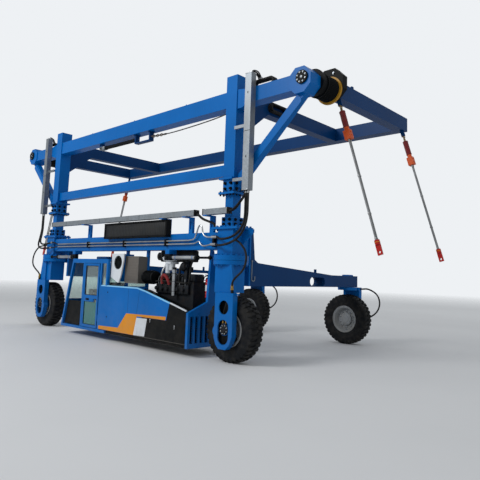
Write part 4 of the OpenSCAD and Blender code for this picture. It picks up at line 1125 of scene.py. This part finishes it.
class CARRIER_OT_pipework(bpy.types.Operator):
    """Pipe clamps, hose ends and couplings, trough ends and joints, and the hoses over the ducts' tops"""

    bl_idname = "carrier.pipework"
    bl_label = "Pipework"

    def execute(self, context):
        clamp_face, trough_face, duct_face = -2266, -2400, -2309
        bm = bmesh.new()
        for x in (-1410, 160, 1680):
            block(bm, (x - 27, clamp_face, 2116), (x + 27, BEAM_FACE, 2264), 4)
            for z in (2128, 2190, 2252):
                bolt(bm, (x, clamp_face, z), NEAR, 15, 9)
        block(bm, (3117, -2284, 2086), (3163, BEAM_FACE, 2304), 4)
        piece("pipe_clamps", bm, "black")
        bm = bmesh.new()
        for s in (-1, 1):
            for y, z in ((-2310, 2130), (-2290, 2270)):
                spun(bm, [(0, 0), (26, 0), (30, 4), (30, 22), (25, 24), (25, 30), (29, 32), (29, 66), (24, 70),
                          (0, 70)], (s * 3178, y, z), (s, 0, 0), 18)
        piece("hose_ends", bm, "pipe")
        ends = [((x0, trough_face - 4, 2686), (x1, -2271, 2806), 3)
                for x0, x1 in ((2692, 2712), (2934, 2954), (3590, 3606), (-3086, -3070))]
        joints = [((x, trough_face - 2.5, 2688), (x + 6, trough_face, 2800), 1) for x in (-2300, -700, 900)]
        blocks("trough_ends", "hose", ends + joints)
        bm = bmesh.new()
        for x in range(-3000, 3500, 430):
            # None in the gap between the two troughs
            if not 2650 < x < 3000:
                bolt(bm, (x, trough_face, 2780), NEAR, 12, 6)
        piece("trough_screws", bm, "pipe")
        for s, name in NEAR_WHEELS:
            x, y = s * COUPLING_X, COUPLING_Y
            bm = bmesh.new()
            spun(bm, [(20, 0), (32, 0), (32, 18), (27, 22), (27, 36), (20, 36)], (x, y, 1308), UP, 18,
                 closed=True)
            tube(bm, 19.5, 24, 60, (x, y, 1344), UP, 18)
            piece("fork_coupling_" + name, bm, "brass", "steer_" + name)
        hoses, couplings = bmesh.new(), bmesh.new()
        half = 79
        for s in (-1, 1):
            for k, dx in enumerate((-30, 0, 30)):
                top = 5330 + 16 * k
                path = [(0, DUCT_Y, 5230), (0, DUCT_Y, 5330), (15, -2215, top), (40, -2130, top),
                        (65, -2085, 5290), (75, -2062, 5215)]
                sweep(hoses, [(s * (DUCT_X + dx + x), y, z) for x, y, z in path], 13)
                tube(couplings, 13.5, 19, 44, (s * (DUCT_X + 75 + dx), -2062, 5216), UP, 16)
                tube(couplings, 13.5, 18, 40, (s * (DUCT_X + dx), DUCT_Y, 5300), UP, 16)
            # Slots and a joint in the duct's wall, which reaches half to either side of its middle
            for z in (3700, 4900):
                block(hoses, (s * (DUCT_X - 9), duct_face - 4, z), (s * (DUCT_X + 9), duct_face, z + 40), 1)
            joint_low = (s * (DUCT_X - half), duct_face - 5, 4196)
            block(hoses, joint_low, (s * (DUCT_X + half), duct_face - 0.5, 4202), 0.5)
            for dx in (-28, 28):
                tube(couplings, 22.5, 27, 46, (s * (DUCT_X + dx), DUCT_Y, 3052), UP, 20)
            # Caps of the duct's walls, folded outwards at both ends
            for z in (3100, 5290):
                block(couplings, (s * (DUCT_X - half), duct_face - 5, z),
                      (s * (DUCT_X + half), duct_face, z + 10), 1)
        piece("duct_hoses", hoses, "hose", "lifting_frame")
        piece("duct_couplings", couplings, "pipe", "lifting_frame")
        return {"FINISHED"}


class CARRIER_OT_feed_hoses(bpy.types.Operator):
    """Hoses from the legs into the ducts, and the fixed runs beside them"""

    bl_idname = "carrier.feed_hoses"
    bl_label = "Feed hoses"

    def execute(self, context):
        # Ways of a leg's two hoses from the duct down to their fittings, as offsets from the duct's middle
        ways = (
            (-28, [(-35, -20, 2500), (-110, -90, 2320), (-285, -135, 2230), (-525, -125, 2220),
                   (-675, -45, 2270), (-745, -45, 2270)]),
            (28, [(20, -40, 2440), (-60, -120, 2230), (-275, -180, 2120), (-525, -165, 2100),
                  (-675, -65, 2130), (-745, -65, 2130)]),
        )
        bm = bmesh.new()
        for s in (-1, 1):
            for dx, low_way in ways:
                way = [(dx, 0, z) for z in (3160, 3040, 2920, 2790, 2660)] + low_way
                sweep(bm, [(s * (DUCT_X + x), DUCT_Y + y, z) for x, y, z in way], 22, 12)
        made = piece("feed_hoses", bm, "hose", None)
        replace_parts(made, "base_hoses")
        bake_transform(made)
        # Way of the hose from a leg's fitting down to the fork's coupling, as offsets from the leg's middle
        way = [(LEG_HALF, -150, 2210), (LEG_HALF + 40, -150, 2210), (300, -190, 2200), (430, -270, 2170),
               (540, -292, 2100), (640, -305, 2000), (690, -325, 1850), (640, -345, 1660), (430, -335, 1520),
               (330, -290, 1440)]
        foot = [(COUPLING_X - LEG_X, COUPLING_Y - LEG_Y, z) for z in (1360, 1300)]
        for s, name in NEAR_WHEELS:
            bm = bmesh.new()
            sweep(bm, [(s * (LEG_X + x), LEG_Y + y, z) for x, y, z in way + foot], 19, 12)
            rod(bm, (s * COUPLING_X, COUPLING_Y, 1250), UP, 25, 60)
            made = piece("wheel_feed_" + name, bm, "hose", None)
            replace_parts(made, "hose_" + name)
            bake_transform(made)
        # Cables from the end of the short trough up into the front duct
        bm = bmesh.new()
        for side in (-20, 20):
            half = side / 2
            sweep(bm, [(3600, side - 2337, 2740), (3660, side - 2335, 2742), (3740, side - 2320, 2790),
                       (3820, half - 2290, 2900), (3890, half - 2256, 3010), (3896, half - 2250, 3080),
                       (3896, half - 2250, 3160)], 17, 12)
        made = piece("trough_cables", bm, "hose", None)
        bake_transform(made)
        # One from the long trough's end towards the front leg, two from the beam's pipes to the rear leg
        bm = bmesh.new()
        sweep(bm, [(2700, -2335, 2730), (2760, -2335, 2710), (2840, -2305, 2630), (2960, -2245, 2580),
                   (3100, -2245, 2540), (3130, -2245, 2510), (3130, -2245, 2460)], 24, 12)
        for fitting_y, low_z, high_z in ((-2310, 2155, 2130), (-2290, 2225, 2270)):
            sweep(bm, [(-2950, -2240, low_z), (-3000, -2240, low_z), (-3080, fitting_y, high_z),
                       (-3190, fitting_y, high_z)], 17, 12)
        piece("fixed_hoses", bm, "hose")
        return {"FINISHED"}


class CARRIER_OT_steering_cylinders(bpy.types.Operator):
    """Steering cylinders of the near legs: bright barrel, black ends and rod, blue bracket"""

    bl_idname = "carrier.steering_cylinders"
    bl_label = "Steering cylinders"

    def execute(self, context):
        y, z = -2310, 1880
        barrel, ends, bracket = bmesh.new(), bmesh.new(), bmesh.new()
        for s in (-1, 1):
            along = (s, 0, 0)

            def at(dx, dy=0, dz=0):
                return s * (LEG_X + dx), y + dy, z + dz

            rod(barrel, at(-1382), along, 42, 694, 32)
            for dx in (-1440, -698):
                rod(ends, at(dx), along, 53, 62, 32, 5)
            spun(ends, [(0, 0), (38, 0), (34, 8), (24, 10), (22, 12), (22, 330), (0, 330)], at(-636), along, 24)
            block(ends, at(-1620, -48, -58), at(-1442, 48, 68), 12)
            rod(ends, at(-1530, -66), FAR, 26, 132, 24)
            block(ends, at(-330, -30, -30), at(-268, 30, 30), 10)
            rod(ends, at(-300, 0, -46), UP, 18, 92, 20)
            block(bracket, at(-1600, -40, 68), at(-1470, 158, 159), 5)
            for dx in (-1290, -780):
                rod(bracket, at(dx), along, 44, 12, 32, 1)
            for dx in (-1330, -760):
                block(ends, at(dx - 16, -16, 38), at(dx + 16, 16, 62), 4)
        made = piece("steering_barrels", barrel, "pipe")
        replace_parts(made, "steer_cylinders")
        piece("steering_rods", ends, "black")
        piece("steering_brackets", bracket, "blue")
        return {"FINISHED"}


class CARRIER_OT_hoist(bpy.types.Operator):
    """Cylinder under the top beam with its clevis, bracket, chain and rope"""

    bl_idname = "carrier.hoist"
    bl_label = "Hoist cylinder"

    def execute(self, context):
        y, z = -2060, 4670
        links, pitch = 7, 69
        bm = bmesh.new()
        spun(bm, [(0, 0), (50, 0), (52, 4), (52, 60), (45, 64), (45, 1240), (53, 1244), (53, 1318), (46, 1328),
                  (0, 1328)], (-1180, y, z), FRONT, 32)
        made = piece("hoist_tube", bm, "black", "lifting_frame")
        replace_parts(made, "hoist_cylinder")
        bm = bmesh.new()
        block(bm, (-1400, y - 50, z - 45), (-1180, y - 22, z + 45), 8)
        block(bm, (-1400, y + 22, z - 45), (-1180, y + 50, z + 45), 8)
        block(bm, (-1230, y - 40, z - 40), (-1178, y + 40, z + 40), 6)
        rod(bm, (-1340, y - 74, z), FAR, 24, 148, 24)
        for side in (-1, 1):
            bolt(bm, (-1340, y + side * 60, z), (0, side, 0), 52, 14)
        piece("hoist_clevis", bm, "trough", "lifting_frame")
        # The bracket takes the blue painted darker as shade
        blocks("hoist_bracket", "deep_blue", [
            ((-1420, y - 40, z + 44), (-1300, y + 40, BEAM_UNDERSIDE), 4),
            ((150, y - 60, z - 110), (190, y + 60, BEAM_UNDERSIDE), 5),
            ((120, y - 66, BEAM_UNDERSIDE - 24), (220, y + 66, BEAM_UNDERSIDE - 2), 4),
            ((700, y - 60, z - 110), (740, y + 60, BEAM_UNDERSIDE), 5),
            ((670, y - 66, BEAM_UNDERSIDE - 24), (770, y + 66, BEAM_UNDERSIDE - 2), 4),
            ((188, y - 60, z - 110), (702, y + 60, z - 80), 5)], "lifting_frame")
        bm = bmesh.new()
        for k in range(links):
            before = set(bm.verts)
            hoop(bm, (0, 0, 0), UP, 27, 9.5, 20, 8, stretch=1.55)
            turn = Matrix.Rotation(math.pi / 2, 4, "X") if k % 2 else Matrix()
            where = Matrix.Translation(mm(748 + pitch * k, y, z - 12 - 3 * k)) @ turn
            bmesh.ops.transform(bm, matrix=where, verts=newer(bm, before))
        piece("hoist_chain", bm, "chain", "lifting_frame")
        bm = bmesh.new()
        sweep(bm, [(1185, y, z - 32), (1500, y, z - 40), (2200, y, z - 20), (2900, y, z + 20),
                   (3190, y, z + 60), (3268, y, z + 60)], 12, 12)
        spun(bm, [(12, 0), (20, 4), (20, 90), (12, 96)], (1180, y, z - 33), FRONT, 18, closed=True)
        piece("hoist_rope", bm, "rope", "lifting_frame")
        return {"FINISHED"}


class CARRIER_OT_heads(bpy.types.Operator):
    """Hub discs' bolts, rope wraps, guard fittings, shackles at the braces' feet and the carriers' links"""

    bl_idname = "carrier.heads"
    bl_label = "Lifting heads"

    def execute(self, context):
        # Hub discs' bolts and caps, and the guards' bolts
        bm = bmesh.new()
        for s in (-1, 1):
            disc = (s * HUB_X, -2230, HUB_Z)
            guard_x = s * (HUB_X - 20)
            bolt_ring(bm, disc, NEAR, 88, 8, 22, 14)
            spun(bm, [(0, 0), (26, 0), (26, 6), (18, 10), (0, 10)], disc, NEAR, 28)
            for dx in (-120, 90):
                bolt(bm, (guard_x + dx, -1345, 5290), NEAR, 34, 20)
            for y in (-1300, -1240):
                bolt(bm, (guard_x, y, 5380), UP, 24, 14)
        piece("head_bolts", bm, "trough", "lifting_frame")
        # Ring on the hub disc, rope laid round the drum, and the drum's flange
        bm = bmesh.new()
        for s in (-1, 1):
            spun(bm, [(114, 0), (119, 2), (119, 14), (114, 16)], (s * HUB_X, -2216, HUB_Z), NEAR, 40,
                 closed=True)
            for y in range(-1402, -1688, -19):
                hoop(bm, (s * HUB_X, y, HUB_Z), FAR, 216, 8.5, 40, 6)
            spun(bm, [(214, 0), (236, 4), (236, 20), (214, 24)], (s * HUB_X, -1735, HUB_Z), FAR, 44,
                 closed=True)
        piece("drum_ropes", bm, "black", "lifting_frame")
        bm = bmesh.new()
        for s in (-1, 1):
            x = s * 3740
            hoop(bm, (x, LEG_Y, 3098), FAR, 36, 10, 26)
            rod(bm, (x, LEG_Y - 42, 3152), FAR, 11, 84, 18)
            for side in (-1, 1):
                sweep(bm, [(x, LEG_Y + side * 30, 3160), (x + s * 22, LEG_Y + side * 20, 3135),
                           (x + s * 30, LEG_Y, 3110)], 8, 8, 1)
        piece("brace_shackles", bm, "trough", "lifting_frame")
        # Links of the hose carriers on the arms and on the columns
        bm = bmesh.new()
        for s in (-1, 1):
            for x in range(3900, 4271, 74):
                for z in (5062, 5176):
                    block(bm, (s * x - 26, -2112, z), (s * x + 26, -1988, z + 34), 4)
            for y in range(-1214, -823, 78):
                for z in (4912, 5056):
                    block(bm, (s * (LEG_X + 108), y, z), (s * (LEG_X + 222), y + 54, z + 34), 4)
        piece("carrier_links", bm, "hose", "lifting_frame")
        return {"FINISHED"}


class CARRIER_OT_slings(bpy.types.Operator):
    """Shackles, woven sleeves, collars and twin rods of the four slings"""

    bl_idname = "carrier.slings"
    bl_label = "Slings"

    def execute(self, context):
        reach, drop = 840, 2830
        lean, length = math.atan2(reach, drop), math.hypot(reach, drop)
        shackle, sleeve, rods, collar, tag = parts = [bmesh.new() for _ in range(5)]
        for sx, sy in ((-1, -1), (-1, 1), (1, -1), (1, 1)):
            before = [set(bm.verts) for bm in parts]
            # Each sling is built straight up from its hanging point, then turned over and leant outwards
            hoop(shackle, (0, 0, 142), FRONT, 27, 10, 22, 8, 1.25)
            rod(shackle, (0, -44, 118), FAR, 13, 88, 18)
            bolt(shackle, (0, 40, 118), FAR, 26, 12)
            spun(shackle, [(0, 160), (17, 160), (22, 168), (22, 226), (16, 232), (0, 232)], (0, 0, 0), UP, 20)
            spun(sleeve, [(0, 228), (40, 228), (52, 233), (57, 240), (57, 252), (54, 256), (53, 330), (55, 400),
                          (53, 470), (54, 536), (57, 540), (57, 553), (50, 560), (0, 560)], (0, 0, 0), UP, 32)
            for z in (804, 1500, 2200, length - 300):
                block(rods, (-17, -38, z), (17, 38, z + 34), 5)
            for z in (632, 768):
                block(collar, (-64, -57, z), (64, 57, z + 16), 3)
            for side in (-1, 1):
                sweep(sleeve, [(side * 54, 0, 242), (side * 54.5, 0, 400), (side * 54, 0, 550)], 3.5, 6, 0)
                rod(rods, (0, side * 21, 796), UP, 15.5, length - 260 - 792, 18)
                for z in (668, 735):
                    bolt(collar, (side * 62, 0, z), (side, 0, 0), 22, 8)
            hoop(tag, (0, 0, length - 222), UP, 43, 7, 28, 8)
            turn = Matrix.Rotation(sx * (math.pi - lean), 4, "Y")
            where = Matrix.Translation(mm(sx * 5160, 120 + sy * 1285, 4820)) @ turn
            for bm, old in zip(parts, before):
                bmesh.ops.transform(bm, matrix=where, verts=newer(bm, old))
        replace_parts(piece("sling_bows", shackle, "brass_steel", "lifting_frame"), "sling_shackles")
        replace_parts(piece("sling_covers", sleeve, "sleeve", "lifting_frame"), "sling_sleeves")
        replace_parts(piece("sling_twin_rods", rods, "rod", "lifting_frame"), "sling_rods")
        piece("collar_bands", collar, "sling_orange", "lifting_frame")
        piece("lug_bands", tag, "orange", "lifting_frame")
        return {"FINISHED"}


class CARRIER_OT_outrigger_trim(bpy.types.Operator):
    """King pin caps at the outriggers' ends and the hooked rod by the front leg"""

    bl_idname = "carrier.outrigger_trim"
    bl_label = "Outrigger trim"

    def execute(self, context):
        # The rear outrigger slants forwards, so its king pin stands near the middle
        bm = bmesh.new()
        for x in (3350, 200):
            spun(bm, [(0, 0), (138, 0), (138, 12), (96, 16), (92, 30), (0, 32)], (x, 2185, 1640), UP, 36)
            bolt_ring(bm, (x, 2185, 1652), UP, 117, 10, 24, 16)
        piece("king_pin_caps", bm, "blue")
        bm = bmesh.new()
        way = [(-1650, 1855), (-1650, 1600), (-1650, 1492), (-1630, 1470), (-1580, 1470), (-1560, 1492),
               (-1560, 1560)]
        sweep(bm, [(3583, y, z) for y, z in way], 9, 8)
        block(bm, (3556, -1668, 1836), (3594, -1632, 1862), 4)
        piece("hooked_rod", bm, "trough")
        return {"FINISHED"}


OPERATORS = (
    CARRIER_OT_stage,
    CARRIER_OT_finishes,
    CARRIER_OT_tyres,
    CARRIER_OT_rims,
    CARRIER_OT_hub_motors,
    CARRIER_OT_frame_bolts,
    CARRIER_OT_panels,
    CARRIER_OT_cab,
    CARRIER_OT_cab_inside,
    CARRIER_OT_engine,
    CARRIER_OT_fan_and_coolers,
    CARRIER_OT_pipework,
    CARRIER_OT_feed_hoses,
    CARRIER_OT_steering_cylinders,
    CARRIER_OT_hoist,
    CARRIER_OT_heads,
    CARRIER_OT_slings,
    CARRIER_OT_outrigger_trim,
)


class CARRIER_PT_looks(bpy.types.Panel):
    """Lists the steps that dress the machine"""

    bl_idname = "CARRIER_PT_looks"
    bl_label = "Straddle carrier"
    bl_space_type = "VIEW_3D"
    bl_region_type = "UI"
    bl_category = "Carrier"

    def draw(self, context):
        for group in (context.scene.carrier_paint, context.scene.carrier_sizes):
            for key in group.__annotations__:
                self.layout.prop(group, key)
        for step in OPERATORS:
            self.layout.operator(step.bl_idname)


CLASSES = (CarrierPaint, CarrierSizes, *OPERATORS, CARRIER_PT_looks)


def register():
    for made in CLASSES:
        bpy.utils.register_class(made)
    bpy.types.Scene.carrier_paint = PointerProperty(type=CarrierPaint)
    bpy.types.Scene.carrier_sizes = PointerProperty(type=CarrierSizes)


def unregister():
    del bpy.types.Scene.carrier_sizes
    del bpy.types.Scene.carrier_paint
    for made in reversed(CLASSES):
        bpy.utils.unregister_class(made)


def main():
    register()
    for step in OPERATORS:
        group, name = step.bl_idname.split(".")
        getattr(getattr(bpy.ops, group), name)()


if __name__ == "__main__":
    main()
